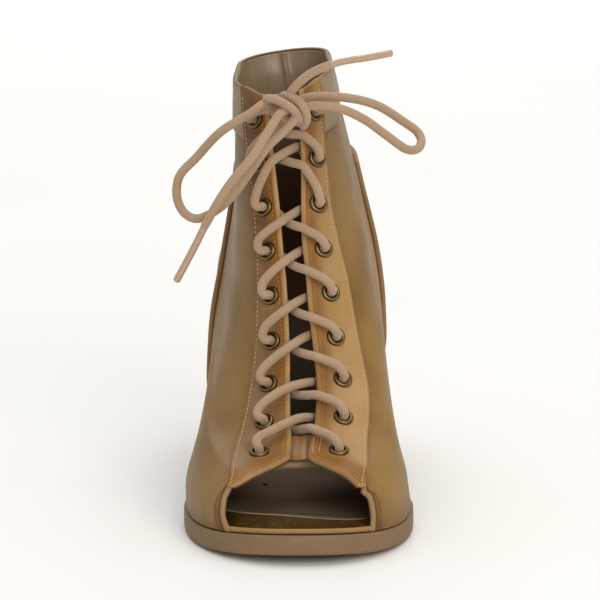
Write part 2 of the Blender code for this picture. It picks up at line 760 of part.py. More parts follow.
def make_lace():
    """Crossed lace up the throat, the bar it starts from, its knot and the bow."""
    places = eyelet_places()
    for row in range(EYELET_ROWS - 1):
        cross = add_tube(f"lace_cross_{row + 1}", strand_line(row, -1, STRAND_OVER), CORD_RADIUS, CORD)
        other = add_tube("strand", strand_line(row, 1, STRAND_UNDER), CORD_RADIUS, CORD)
        combine(cross, other, "UNION")
    level, arcs = places[0]
    bar = []
    for u in np.linspace(-1, 1, 7):
        arc = np.interp(u, (-1, 1), (arcs[-1], arcs[1]))
        bar.append(skin(level + BAR_RISE * (1 - u * u), np.array([arc]), np.array([-BAR_DEPTH]))[0])
    add_tube("lace_bar", bar, CORD_RADIUS, CORD)
    make_knot(places[-1])
    for name, rows, count in (("lace_loop_outer", LOOP_OUTER, 26), ("lace_loop_inner", LOOP_INNER, 24),
                              ("lace_end_outer", END_OUTER, 14), ("lace_end_inner", END_INNER, 10)):
        start, end = leave_knot(rows[0]), leave_knot(rows[-1])
        line = [start, *rows, end] if "loop" in name else [start, *rows]
        add_cord(name, bend_through(line, count))


def make_knot(place):
    """Knot of the bow with the two strands that reach it from the top eyelets."""
    level, arcs = place
    work = bmesh.new()
    bmesh.ops.create_uvsphere(work, u_segments=10, v_segments=7, radius=1.0)
    points = [np.array(KNOT_AT) + np.array(v.co) * KNOT_RADII for v in work.verts]
    faces = [tuple(v.index for v in face.verts) for face in work.faces]
    work.free()
    knot = add_mesh("lace_knot", points, faces, CORD)
    for side in (-1, 1):
        start = skin(level, np.array([arcs[side]]), np.array([4.2]))[0]
        middle = skin(level + 0.012, np.array([arcs[side] * 0.6]), np.array([6.4]))[0]
        leg = add_tube("leg", bend_through([start, middle, np.array(KNOT_AT)], 7), CORD_RADIUS, CORD)
        combine(knot, leg, "UNION")


def leave_knot(row):
    """Where a cord that heads for a row of its table leaves the knot."""
    way = np.array(row, float) - np.array(KNOT_AT)
    way /= np.linalg.norm(way)
    reach = 1 / np.linalg.norm(way / np.array(KNOT_RADII))
    return np.array(KNOT_AT) + way * (reach + KNOT_CLEAR)


def add_cord(name, line):
    """A loose length of round cord."""
    curve = bpy.data.curves.new(name, "CURVE")
    curve.dimensions = "3D"
    curve.bevel_depth = CORD_RADIUS * MM
    curve.bevel_resolution = 2
    curve.use_fill_caps = True
    spline = curve.splines.new("POLY")
    spline.points.add(len(line) - 1)
    for point, at in zip(spline.points, line):
        point.co = (*to_metres(at), 1.0)
    piece = bpy.data.objects.new(name, curve)
    bpy.context.scene.collection.objects.link(piece)
    curve.materials.append(material(name, CORD))


def main():
    """Clear the scene and build the boot."""
    for item in list(bpy.data.objects):
        bpy.data.objects.remove(item)
    make_outsole()
    make_heel()
    make_insole()
    make_toe_wrap()
    make_upper()
    make_counter()
    make_collar_band()
    make_throat_tab()
    make_eyelets()
    make_lace()


main()
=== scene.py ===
"""Right peep toe ankle boot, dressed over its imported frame: leather, lining, thread, brass and braided lace.

Shapes are worked out in millimetres and become metres when a mesh is made. The toe points along -Y, +X is
the big toe side and Z is up from the ground. "d" is the distance back from the tip of the sole, "level"
runs up the upper from the sole (0) to the collar (1), "arc" is the distance along a level from the front
middle, positive on the big toe side, and "lift" is a distance out from the upper's own surface.
"""
from __future__ import annotations

import logging
import math
from collections.abc import Sequence
from dataclasses import dataclass, field
from enum import Enum
from functools import lru_cache
from typing import NamedTuple

import bmesh
import bpy
import numpy as np
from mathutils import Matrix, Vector
from mathutils.bvhtree import BVHTree


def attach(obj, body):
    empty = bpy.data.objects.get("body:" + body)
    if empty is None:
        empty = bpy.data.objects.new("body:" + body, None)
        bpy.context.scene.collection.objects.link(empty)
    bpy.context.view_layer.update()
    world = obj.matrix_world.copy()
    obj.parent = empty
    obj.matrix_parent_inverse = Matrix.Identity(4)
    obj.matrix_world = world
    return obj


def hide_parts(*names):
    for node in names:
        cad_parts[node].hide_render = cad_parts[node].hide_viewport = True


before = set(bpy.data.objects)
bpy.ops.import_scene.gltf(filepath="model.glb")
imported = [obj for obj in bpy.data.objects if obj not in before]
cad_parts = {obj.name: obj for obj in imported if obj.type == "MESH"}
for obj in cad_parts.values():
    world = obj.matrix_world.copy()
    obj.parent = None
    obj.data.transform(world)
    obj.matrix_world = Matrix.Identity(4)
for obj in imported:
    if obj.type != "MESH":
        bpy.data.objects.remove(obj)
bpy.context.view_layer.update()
LOG = logging.getLogger("boot")

MM = 0.001
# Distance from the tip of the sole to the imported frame's origin, in millimetres.
BOOT_MIDDLE = 116.4
BODY = "root"
# Points worked out between two places that a smooth line passes.
BEND_STEPS = 24

# Three numbers, such as the place of a point, and a row of such threes.
Triple = tuple[float, float, float]
Triples = tuple[Triple, ...]


class Side(Enum):
    """The two sides of the boot."""

    INNER = 1
    OUTER = -1


class Mark(Enum):
    """Amounts painted on a panel's points, which its leather reads."""

    # Darkens towards the leather's darker brown: real burnishing, patina on brass, and painted shade in some
    # places.
    BURNISH = "burnish"
    # Shifts towards a paler edge colour; on the throat tab's ridge this is a painted highlight.
    EDGE = "edge"
    # Shifts towards a greyer, darker tone; on the outer eyestay this is painted shade.
    TONE_AND_SHADE = "tone_and_shade"


class Slot(Enum):
    """The record's material slots."""

    UPPER = "upper_leather"
    COUNTER = "counter_leather"
    TRIM = "trim_leather"
    SOLE = "sole_rubber"
    HEEL = "heel_block"
    SOCK = "insole_sock"
    BRASS = "eyelet_brass"
    LACE = "lace_cord"


class SoleRow(NamedTuple):
    """Side view of the sole at one place: height of its top and its thickness."""

    d: float
    top: float
    thick: float


class Section(NamedTuple):
    """One level of the last: its two ends, its half widths and the shares that round off at either end."""

    level: float
    front_x: float
    front_d: float
    front_z: float
    back_x: float
    back_d: float
    back_z: float
    fore: float
    mid: float
    rear: float
    nose: float
    tail: float


class Opening(NamedTuple):
    """Front opening at a level: half widths to its edge and to the eyestay's outer seam on either side."""

    level: float
    edge_inner: float
    edge_outer: float
    seam_inner: float
    seam_outer: float


class Inset(NamedTuple):
    """How far the eyelets stand back from the opening's edge at a level."""

    level: float
    inner: float
    outer: float


class CounterRow(NamedTuple):
    """Share of a level at which the heel counter's front edge stands."""

    level: float
    front: float


class Tip(NamedTuple):
    """How far a level is tipped sideways, as a rise over the width towards the big toe side."""

    level: float
    rise: float


class BedRow(NamedTuple):
    """Thickness of the foot bed at one place."""

    d: float
    thick: float


class Strand(NamedTuple):
    """One place on a lace strand: share of the pitch climbed, share of the way across, height."""

    climb: float
    across: float
    lift: float


class Crease(NamedTuple):
    """A soft trough in a side panel, between two places given as level and arc."""

    level: float
    arc: float
    end_level: float
    end_arc: float
    depth: float
    width: float


def smooth(xs: Sequence[float], ys: Sequence[float], x: np.ndarray | float) -> np.ndarray:
    """Value at x of a cubic through points that never overshoots them.

    Args:
        xs: Rising places of the points.
        ys: Values there.
        x: Where the cubic is read.

    Returns:
        The values at x.
    """
    xs, ys = np.asarray(xs, float), np.asarray(ys, float)
    step = np.diff(xs)
    rise = np.diff(ys) / step
    slope = np.zeros(len(xs))
    slope[0], slope[-1] = rise[0], rise[-1]
    for i in range(1, len(xs) - 1):
        if rise[i - 1] * rise[i] > 0:
            a, b = 2 * step[i] + step[i - 1], step[i] + 2 * step[i - 1]
            slope[i] = (a + b) / (a / rise[i - 1] + b / rise[i])
    x = np.clip(x, xs[0], xs[-1])
    i = np.clip(np.searchsorted(xs, x, side="right") - 1, 0, len(xs) - 2)
    t = (x - xs[i]) / step[i]
    near = (1 + 2 * t) * (1 - t) ** 2 * ys[i] + t * (1 - t) ** 2 * step[i] * slope[i]
    far = t * t * (3 - 2 * t) * ys[i + 1] + t * t * (t - 1) * step[i] * slope[i + 1]
    return near + far


def ease(low: float, high: float, x: np.ndarray | float) -> np.ndarray:
    """Soft step from 0 at low to 1 at high."""
    t = np.clip((np.asarray(x, float) - low) / (high - low), 0, 1)
    return t * t * (3 - 2 * t)


def hump(x: np.ndarray, middle: float, width: float) -> np.ndarray:
    """Soft bump of height 1 round a middle."""
    return np.exp(-(((np.asarray(x, float) - middle) / width) ** 2))


def rounded(distance: np.ndarray, radius: float) -> np.ndarray:
    """Share of a sheet's thickness that a round edge leaves at a distance from that edge."""
    return np.sqrt(1 - (1 - np.clip(distance / radius, 0, 1)) ** 2)


def unit(vectors: np.ndarray) -> np.ndarray:
    """Vectors, each made one long."""
    return vectors / np.linalg.norm(vectors, axis=-1, keepdims=True)


def lengths_along(line: np.ndarray) -> np.ndarray:
    """Length of a line of points up to each of them."""
    return np.concatenate([[0], np.cumsum(np.linalg.norm(np.diff(line, axis=0), axis=1))])


def bend_through(points: Sequence, step: float) -> np.ndarray:
    """A smooth line through points.

    Args:
        points: Places the line passes, one after another.
        step: Distance between the points of the result.

    Returns:
        Points evenly along the line.
    """
    p = np.asarray(points, float)
    h = np.sqrt(np.linalg.norm(np.diff(p, axis=0), axis=1))
    rate = np.diff(p, axis=0) / h[:, None]
    pull = np.empty_like(p)
    pull[0], pull[-1] = rate[0], rate[-1]
    share = (h[:-1] / (h[:-1] + h[1:]))[:, None]
    pull[1:-1] = rate[:-1] * (1 - share) + rate[1:] * share
    fine = []
    for i, width in enumerate(h):
        t = np.linspace(0, 1, BEND_STEPS, endpoint=False)[:, None]
        fine.append((1 + 2 * t) * (1 - t) ** 2 * p[i] + t * (1 - t) ** 2 * width * pull[i]
                    + t * t * (3 - 2 * t) * p[i + 1] + t * t * (t - 1) * width * pull[i + 1])
    line = np.concatenate([*fine, p[-1:]])
    at = lengths_along(line)
    even = np.linspace(0, at[-1], max(4, round(at[-1] / step)) + 1)
    return np.stack([np.interp(even, at, line[:, k]) for k in range(3)], axis=-1)


def to_metres(points: np.ndarray) -> np.ndarray:
    """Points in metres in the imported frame, whose origin is on the ground under the boot's middle."""
    return (np.asarray(points, float) - (0, BOOT_MIDDLE, 0)) * MM


@dataclass(frozen=True, eq=False)
class Last:
    """The foot form that every leather piece lies on, with the lines of its openings and overlays."""

    gap: float = 0.3
    wall: float = 2.0
    nose_power: float = 2.2
    waist_shares: tuple[float, ...] = (0, 0.3, 0.58, 0.85, 1)
    arch_shift: float = -3.0
    arch_levels: float = 0.2
    arch_power: float = 1.5
    sag_power: float = 2.2
    collar_vee: float = 3.5
    collar_vee_from: float = 0.92
    vee_shares: tuple[float, ...] = (0, 0.1, 0.2, 0.55, 1)
    eyelet_rows: int = 9
    eyelet_pitch: float = 18.7
    throat_foot: float = 0.30
    girth_steps: int = 401
    front_steps: int = 500
    probe_arc: float = 0.6
    probe_level: float = 0.004
    lean_probe: float = 0.3
    sole: tuple[SoleRow, ...] = (
        SoleRow(0, 12.5, 8.0), SoleRow(14, 10.2, 8.0), SoleRow(28, 8.7, 8.0), SoleRow(42, 8.0, 8.0),
        SoleRow(86, 8.0, 8.0), SoleRow(104, 12.0, 7.0), SoleRow(124, 22.0, 6.0), SoleRow(144, 34.5, 5.5),
        SoleRow(162, 45.0, 5.0), SoleRow(178, 52.0, 5.0), SoleRow(195, 56.5, 5.0), SoleRow(230, 61.0, 5.0),
    )
    sections: tuple[Section, ...] = (
        Section(0.00, 0.5, 3.5, 12.2, 0.0, 222.0, 60.5, 45.2, 31.0, 29.0, 0.30, 0.16),
        Section(0.06, -0.5, 4.5, 19.0, 0.0, 226.0, 69.0, 44.6, 34.0, 32.0, 0.30, 0.16),
        Section(0.13, -0.5, 9.0, 26.0, 0.5, 228.0, 78.0, 41.8, 35.2, 33.2, 0.30, 0.16),
        Section(0.20, 0.2, 20.0, 30.5, 0.6, 228.3, 87.0, 39.2, 35.6, 32.8, 0.29, 0.16),
        Section(0.30, 1.2, 40.0, 34.0, 0.6, 227.3, 98.0, 36.4, 35.0, 31.3, 0.28, 0.17),
        Section(0.45, 3.2, 70.0, 56.0, 0.5, 224.5, 114.0, 32.4, 31.9, 28.4, 0.30, 0.18),
        Section(0.62, 2.0, 88.0, 89.0, 0.0, 221.5, 132.0, 27.5, 27.2, 25.0, 0.32, 0.20),
        Section(0.80, -1.8, 104.0, 123.0, -2.0, 220.0, 151.0, 23.8, 23.6, 22.5, 0.32, 0.22),
        Section(1.00, -5.8, 124.0, 166.5, -5.2, 221.0, 173.0, 19.7, 20.0, 19.0, 0.32, 0.18),
    )
    opening: tuple[Opening, ...] = (
        Opening(0.00, 27.6, 27.6, 27.6, 27.6), Opening(0.05, 29.0, 28.8, 29.0, 28.8),
        Opening(0.10, 27.9, 28.2, 27.9, 28.2), Opening(0.13, 25.2, 26.6, 25.2, 26.6),
        Opening(0.16, 21.8, 22.2, 25.6, 25.9), Opening(0.20, 17.0, 17.0, 26.0, 26.0),
        Opening(0.24, 11.2, 11.8, 26.0, 26.0), Opening(0.27, 6.4, 8.2, 25.8, 25.8),
        Opening(0.29, 3.2, 5.5, 25.7, 25.6), Opening(0.30, 2.4, 4.4, 25.6, 25.4),
        Opening(0.34, 2.6, 4.5, 25.8, 24.2), Opening(0.38, 4.0, 5.5, 25.4, 23.1),
        Opening(0.45, 4.3, 6.4, 22.9, 21.2), Opening(0.53, 3.2, 6.1, 20.2, 19.3),
        Opening(0.62, 2.0, 6.1, 17.9, 17.9), Opening(0.71, 2.0, 5.9, 15.6, 16.5),
        Opening(0.80, 3.5, 5.3, 14.5, 15.8), Opening(0.88, 5.1, 5.7, 14.3, 16.2),
        Opening(0.96, 6.3, 6.2, 14.5, 16.4), Opening(1.00, 6.8, 6.5, 14.6, 16.3),
    )
    inset: tuple[Inset, ...] = (
        Inset(0.30, 13.0, 13.0), Inset(0.38, 12.4, 10.8), Inset(0.45, 11.2, 9.0), Inset(0.53, 9.8, 7.6),
        Inset(0.62, 9.8, 7.2), Inset(0.71, 8.6, 7.0), Inset(0.80, 7.2, 6.8), Inset(1.00, 6.8, 6.8),
    )
    counter: tuple[CounterRow, ...] = (
        CounterRow(0.00, 0.62), CounterRow(0.12, 0.60), CounterRow(0.22, 0.59), CounterRow(0.40, 0.60),
        CounterRow(0.51, 0.63), CounterRow(0.58, 0.67), CounterRow(0.63, 0.72), CounterRow(0.65, 0.76),
        CounterRow(1.00, 0.76),
    )
    tip: tuple[Tip, ...] = (
        Tip(0.00, 0.00), Tip(0.20, 0.00), Tip(0.36, 0.06), Tip(0.80, 0.08), Tip(1.00, 0.14),
    )

    def read(self, rows: tuple, name: str, key: np.ndarray | float) -> np.ndarray:
        """Value of one column of a table at key, which runs along the table's first column."""
        return smooth([row[0] for row in rows], [getattr(row, name) for row in rows], key)

    def sole_top(self, d: np.ndarray) -> np.ndarray:
        """Height of the sole's upper side."""
        return self.read(self.sole, "top", d)

    def sole_bottom(self, d: np.ndarray) -> np.ndarray:
        """Height of the sole's underside."""
        return self.sole_top(d) - self.read(self.sole, "thick", d)

    def sag(self, d: np.ndarray) -> np.ndarray:
        """How far the sole's top hangs below a straight line from the toe to the heel.

        Args:
            d: Distances back from the toe.

        Returns:
            One height for each.
        """
        first = self.sections[0]
        along = (d - first.front_d) / (first.back_d - first.front_d)
        return self.sole_top(d) + self.gap - (first.front_z + (first.back_z - first.front_z) * along)

    def ring(self, level: float, share: np.ndarray, side: int) -> np.ndarray:
        """Points of one side of a level.

        Args:
            level: The level.
            share: Shares of the way from the front (0) to the back (1).
            side: +1 for the big toe side, -1 for the other.

        Returns:
            One point for each share.
        """
        row = Section(level, *(float(self.read(self.sections, name, level)) for name in Section._fields[1:]))
        d = row.front_d + (row.back_d - row.front_d) * share
        z = row.front_z + (row.back_z - row.front_z) * share
        ends = self.sag(row.front_d) * (1 - share) + self.sag(row.back_d) * share
        z = z + (1 - level) ** self.sag_power * (self.sag(d) - ends)
        width = smooth(self.waist_shares, [row.fore, row.fore, row.mid, row.rear, row.rear], share)
        for end in (np.clip(1 - share / row.nose, 0, 1), np.clip((share - 1 + row.tail) / row.tail, 0, 1)):
            width = width * (1 - end ** self.nose_power) ** (1 / self.nose_power)
        arch = self.arch_shift * max(0.0, 1 - level / self.arch_levels) ** self.arch_power
        middle = row.front_x * (1 - share) + row.back_x * share
        middle = middle + arch * smooth(self.waist_shares, [0, 0, 1, 0, 0], share)
        vee = self.collar_vee * smooth([0, self.collar_vee_from, 1], [0, 0, 1], level)
        z = z + vee * smooth(self.vee_shares, [0, 1, 1, 0, 0], share)
        z = z + side * width * float(self.read(self.tip, "rise", level))
        return np.stack([middle + side * width, d, z], axis=-1)

    @lru_cache(maxsize=None)
    def girth(self, level: float) -> tuple[np.ndarray, np.ndarray, int]:
        """One level as a closed line: its lengths from the front middle, its points, the back's place.

        Args:
            level: The level.

        Returns:
            The lengths, the points and the number of the point in the middle of the back.
        """
        shares = self.shares()
        points = np.concatenate([self.ring(level, shares, 1), self.ring(level, shares[::-1], -1)[1:]])
        return lengths_along(points), points, len(shares) - 1

    @lru_cache(maxsize=None)
    def shares(self) -> np.ndarray:
        """Shares of a level's length, close together at both ends."""
        return (1 - np.cos(np.linspace(0, math.pi, self.girth_steps))) / 2

    def on_level(self, level: float, arc: np.ndarray) -> np.ndarray:
        """Points of a level at the given arcs.

        Args:
            level: The level.
            arc: Arcs along it.

        Returns:
            One point for each arc.
        """
        lengths, points, _ = self.girth(float(level))
        arc = np.mod(arc, lengths[-1])
        return np.stack([np.interp(arc, lengths, points[:, k]) for k in range(3)], axis=-1)

    def normal_at(self, level: float, arc: np.ndarray) -> np.ndarray:
        """Unit normals out of the upper.

        Args:
            level: The level.
            arc: Arcs along it.

        Returns:
            One normal for each arc.
        """
        along = self.on_level(level, arc + self.probe_arc) - self.on_level(level, arc - self.probe_arc)
        above, below = min(level + self.probe_level, 1.0), max(level - self.probe_level, 0.0)
        return unit(np.cross(along, self.on_level(above, arc) - self.on_level(below, arc)))

    def skin(self, level: float, arc: np.ndarray, lift: np.ndarray | float = 0.0) -> np.ndarray:
        """Points of the upper's outer surface, raised by lift.

        Args:
            level: The level.
            arc: Arcs along it.
            lift: Distance out of the surface, the same all along or one for each arc.

        Returns:
            One point for each arc.
        """
        arc = np.atleast_1d(np.asarray(arc, float))
        high = np.broadcast_to(lift, arc.shape)[:, None]
        return self.on_level(level, arc) + self.normal_at(level, arc) * high

    def half_length(self, level: float, side: Side) -> float:
        """Length from the front middle to the back middle on one side."""
        lengths, _, back = self.girth(float(level))
        return float(lengths[back] if side is Side.INNER else lengths[-1] - lengths[back])

    def arc_at_width(self, level: float, half: float, side: Side) -> float:
        """Arc at which a level has spread to the half width on one side.

        Args:
            level: The level.
            half: The half width.
            side: The side.

        Returns:
            The arc, without a sign.
        """
        lengths, points, back = self.girth(float(level))
        if side is Side.OUTER:
            lengths, points = (lengths[-1] - lengths)[::-1], points[::-1]
        spread = (points[:, 0] - points[0, 0]) * side.value
        widest = int(np.argmax(spread[:back + 1])) + 1
        return float(np.interp(half, spread[:widest], lengths[:widest]))

    def arc_at_share(self, level: float, share: float, side: Side) -> float:
        """Arc at a share of the way from the front of a level to its back.

        Args:
            level: The level.
            share: The share.
            side: The side.

        Returns:
            The arc, without a sign.
        """
        lengths, _, back = self.girth(float(level))
        if side is Side.OUTER:
            lengths = (lengths[-1] - lengths)[::-1]
        return float(np.interp(share, self.shares(), lengths[:back + 1]))

    def throat(self, level: float, side: Side) -> float:
        """Arc of the front opening's edge."""
        half = self.read(self.opening, f"edge_{side.name.lower()}", level)
        return self.arc_at_width(level, float(half), side)

    def seam(self, level: float, side: Side) -> float:
        """Arc of the eyestay's outer seam."""
        half = self.read(self.opening, f"seam_{side.name.lower()}", level)
        return self.arc_at_width(level, float(half), side)

    def counter_front(self, level: float, side: Side) -> float:
        """Arc of the heel counter's front edge."""
        return self.arc_at_share(level, float(self.read(self.counter, "front", level)), side)

    @lru_cache(maxsize=None)
    def eyelet_places(self) -> list[tuple[float, dict[Side, float]]]:
        """Level and arcs of each row of eyelets, from the lowest row up.

        Returns:
            The level of each row and, by side, its signed arcs.
        """
        levels = np.linspace(self.throat_foot, 1.0, self.front_steps)
        front = np.stack([self.read(self.sections, "front_d", levels),
                          self.read(self.sections, "front_z", levels)], axis=-1)
        along = lengths_along(front)
        rows = []
        for i in range(self.eyelet_rows):
            level = float(np.interp(i * self.eyelet_pitch, along, levels))
            back = {s: float(self.read(self.inset, s.name.lower(), level)) for s in Side}
            rows.append((level, {s: s.value * (self.throat(level, s) + back[s]) for s in Side}))
        return rows

    def lean(self, levels: np.ndarray, arcs: np.ndarray) -> np.ndarray:
        """Share of a distance along a level that is square to a line on the upper.

        Args:
            levels: Levels the line passes.
            arcs: Its arc at each of them.

        Returns:
            One share for each level.
        """
        line = np.array([self.on_level(v, np.array([a]))[0] for v, a in zip(levels, arcs)])
        way = np.gradient(line, axis=0)
        pair = np.array([-self.lean_probe, self.lean_probe])
        along = np.array([np.diff(self.on_level(v, a + pair), axis=0)[0] for v, a in zip(levels, arcs)])
        square = np.linalg.norm(np.cross(along, way), axis=1)
        return square / (np.linalg.norm(along, axis=1) * np.linalg.norm(way, axis=1) + 1e-9)


LAST = Last()


def linear(colour: str) -> tuple[float, float, float, float]:
    """An sRGB hex value as linear RGBA."""
    parts = [int(colour[i:i + 2], 16) / 255 for i in (1, 3, 5)]
    return (*(c / 12.92 if c <= 0.04045 else ((c + 0.055) / 1.055) ** 2.4 for c in parts), 1.0)


def per_metre(millimetres: float) -> float:
    """Texture scale of a pattern whose marks are so many millimetres apart."""
    return 1 / (millimetres * MM)


# The main output of those nodes whose first output is another one.
MAIN_OUTPUT = {"Attribute": "Fac", "Mix": 2, "TexCoord": "Object", "VectorMath": "Value"}


def add_node(tree: bpy.types.NodeTree, kind: str, settings: dict | None = None) -> bpy.types.NodeSocket:
    """Add a node, give it its settings and link its inputs.

    Args:
        tree: Tree that the node joins.
        kind: The shader node's type, without the words that all of them start with.
        settings: Values of its inputs or properties, and other nodes' outputs that go to its inputs.

    Returns:
        The node's main output.
    """
    node = tree.nodes.new(f"ShaderNode{kind}")
    for key, value in (settings or {}).items():
        if isinstance(value, bpy.types.NodeSocket):
            tree.links.new(value, node.inputs[key])
        elif isinstance(key, int) or key in node.inputs:
            node.inputs[key].default_value = value
        else:
            setattr(node, key, value)
    return node.outputs[MAIN_OUTPUT.get(kind, 0)]


def start_material(name: str, sockets: dict) -> tuple[bpy.types.Material, bpy.types.NodeTree, bpy.types.Node]:
    """A new material with constant values on its shader.

    Args:
        name: The material's name.
        sockets: Values of the shader's own sockets.

    Returns:
        The material, its tree and its shader.
    """
    material = bpy.data.materials.new(name)
    material.use_nodes = True
    tree = material.node_tree
    shader = tree.nodes["Principled BSDF"]
    for key, value in sockets.items():
        shader.inputs[key].default_value = value
    return material, tree, shader


@dataclass(frozen=True)
class CoatedLeather:
    """Tan coated leather: a smooth, faintly pebbled face, burnished by hand towards its edges, with painted
    shade where its piece's marks call for it.
    """

    name: str
    face: str
    mottle: str
    # Colour of the burnishing, which also serves as painted shade.
    burnish: str
    edge: str
    # Greyer, darker tone, which also serves as painted shade.
    tone_and_shade: str
    grain_mm: float = 1.1
    roughness: float = 0.48
    coat: float = 0.04
    shine: float = 0.16
    patch_mm: float = 26.0
    wipe_mm: float = 5.0
    fleck_mm: float = 0.8
    wave_mm: float = 9.0

    @lru_cache(maxsize=None)
    def make(self) -> bpy.types.Material:
        """The material: a mottled satin face, darker or lighter where the panel's marks say.

        Returns:
            The material, the same one at every call.
        """
        material, tree, shader = start_material(self.name, {
            "IOR": 1.5, "Coat Weight": self.coat, "Coat Roughness": 0.3, "Specular IOR Level": self.shine})
        where = add_node(tree, "TexCoord")
        # Dye takes unevenly over patches about an inch wide.
        patch = add_node(tree, "TexNoise", {
            "Scale": per_metre(self.patch_mm), "Detail": 4.0, "Roughness": 0.5, "Vector": where})
        amount = add_node(tree, "MapRange", {"From Min": 0.38, "From Max": 0.66, "Value": patch})
        colour = add_node(tree, "Mix", {
            "data_type": "RGBA", 6: linear(self.face), 7: linear(self.mottle), 0: amount})
        # Burnishing is wiped on with a cloth, so the border of every mark, painted shade included, is broken
        # up at the size of a fold.
        wipe = add_node(tree, "TexNoise", {
            "Scale": per_metre(self.wipe_mm), "Detail": 3.0, "Vector": where})
        for mark, tint in ((Mark.TONE_AND_SHADE, self.tone_and_shade), (Mark.BURNISH, self.burnish), (Mark.EDGE, self.edge)):
            painted = add_node(tree, "Attribute", {"attribute_name": mark.value})
            broken = add_node(tree, "Math", {"operation": "MULTIPLY_ADD", 1: 0.7, 2: 0.65, 0: wipe})
            share = add_node(tree, "Math", {
                "operation": "MULTIPLY", "use_clamp": True, 0: painted, 1: broken})
            colour = add_node(tree, "Mix", {"data_type": "RGBA", 7: linear(tint), 0: share, 6: colour})
        # Flecks of dye sit in pores about 0.2 mm apart; they are drawn coarser so that they show.
        fleck = add_node(tree, "TexNoise", {
            "Scale": per_metre(self.fleck_mm), "Detail": 2.0, "Vector": where})
        dim = add_node(tree, "MapRange", {
            "From Min": 0.3, "From Max": 0.7, "To Min": 0.94, "To Max": 1.05, "Value": fleck})
        colour = add_node(tree, "Mix", {
            "data_type": "RGBA", "blend_type": "MULTIPLY", 0: 1.0, 6: colour, 7: dim})
        tree.links.new(colour, shader.inputs["Base Color"])
        gloss = add_node(tree, "MapRange", {
            "To Min": self.roughness - 0.07, "To Max": self.roughness + 0.09, "Value": wipe})
        tree.links.new(gloss, shader.inputs["Roughness"])
        # Pebbles of the grain, drawn about twice as wide as real ones so that they show, over the
        # faint waviness of a stretched skin.
        grain = add_node(tree, "TexVoronoi", {
            "feature": "SMOOTH_F1", "Scale": per_metre(self.grain_mm), "Vector": where})
        wave = add_node(tree, "TexNoise", {
            "Scale": per_metre(self.wave_mm), "Detail": 2.0, "Vector": where})
        swell = add_node(tree, "Bump", {"Strength": 0.25, "Distance": 0.0006, "Height": wave})
        pebble = add_node(tree, "Bump", {
            "Strength": 0.22, "Distance": 0.0002, "invert": True, "Height": grain, "Normal": swell})
        tree.links.new(pebble, shader.inputs["Normal"])
        return material


@dataclass(frozen=True)
class GlazedLining:
    """Glazed synthetic lining: shiny beige-grey at the collar, and lower down a dark, brushed lining that
    grips the heel, darkened further as painted shade of the boot's inside.
    """

    name: str = "glazed_synthetic_lining"
    face: str = "#a08b6d"
    streak: str = "#7e6950"
    grip_and_shade: str = "#6e4a33"
    streak_mm: float = 5.0
    streak_squash: float = 0.08
    grip_top: float = 0.138
    grip_full: float = 0.118

    @lru_cache(maxsize=None)
    def make(self) -> bpy.types.Material:
        """The material: soft upright streaks above, and below a dark nap that is partly painted shade.

        Returns:
            The material, the same one at every call.
        """
        material, tree, shader = start_material(self.name, {"IOR": 1.5, "Specular IOR Level": 0.5})
        where = add_node(tree, "TexCoord")
        # The glaze was drawn down by hand, so it runs in upright streaks about 60 mm tall.
        drawn = add_node(tree, "Mapping", {"Scale": (1.0, 1.0, self.streak_squash), "Vector": where})
        streak = add_node(tree, "TexNoise", {
            "Scale": per_metre(self.streak_mm), "Detail": 3.0, "Vector": drawn})
        colour = add_node(tree, "Mix", {
            "data_type": "RGBA", 6: linear(self.face), 7: linear(self.streak), 0: streak})
        height = add_node(tree, "SeparateXYZ", {"Vector": where}).node.outputs["Z"]
        # The glaze ends some 30 mm below the collar, where the dark lining that grips the heel begins; its
        # darkness is partly painted shade of the boot's inside.
        low = add_node(tree, "MapRange", {
            "interpolation_type": "SMOOTHSTEP", "From Min": self.grip_top, "From Max": self.grip_full,
            "Value": height})
        colour = add_node(tree, "Mix", {"data_type": "RGBA", 7: linear(self.grip_and_shade), 0: low, 6: colour})
        tree.links.new(colour, shader.inputs["Base Color"])
        dull = add_node(tree, "MapRange", {"To Min": 0.30, "To Max": 0.9, "Value": low})
        tree.links.new(dull, shader.inputs["Roughness"])
        ripple = add_node(tree, "Bump", {"Strength": 0.35, "Distance": 0.0008, "Height": streak})
        tree.links.new(ripple, shader.inputs["Normal"])
        return material


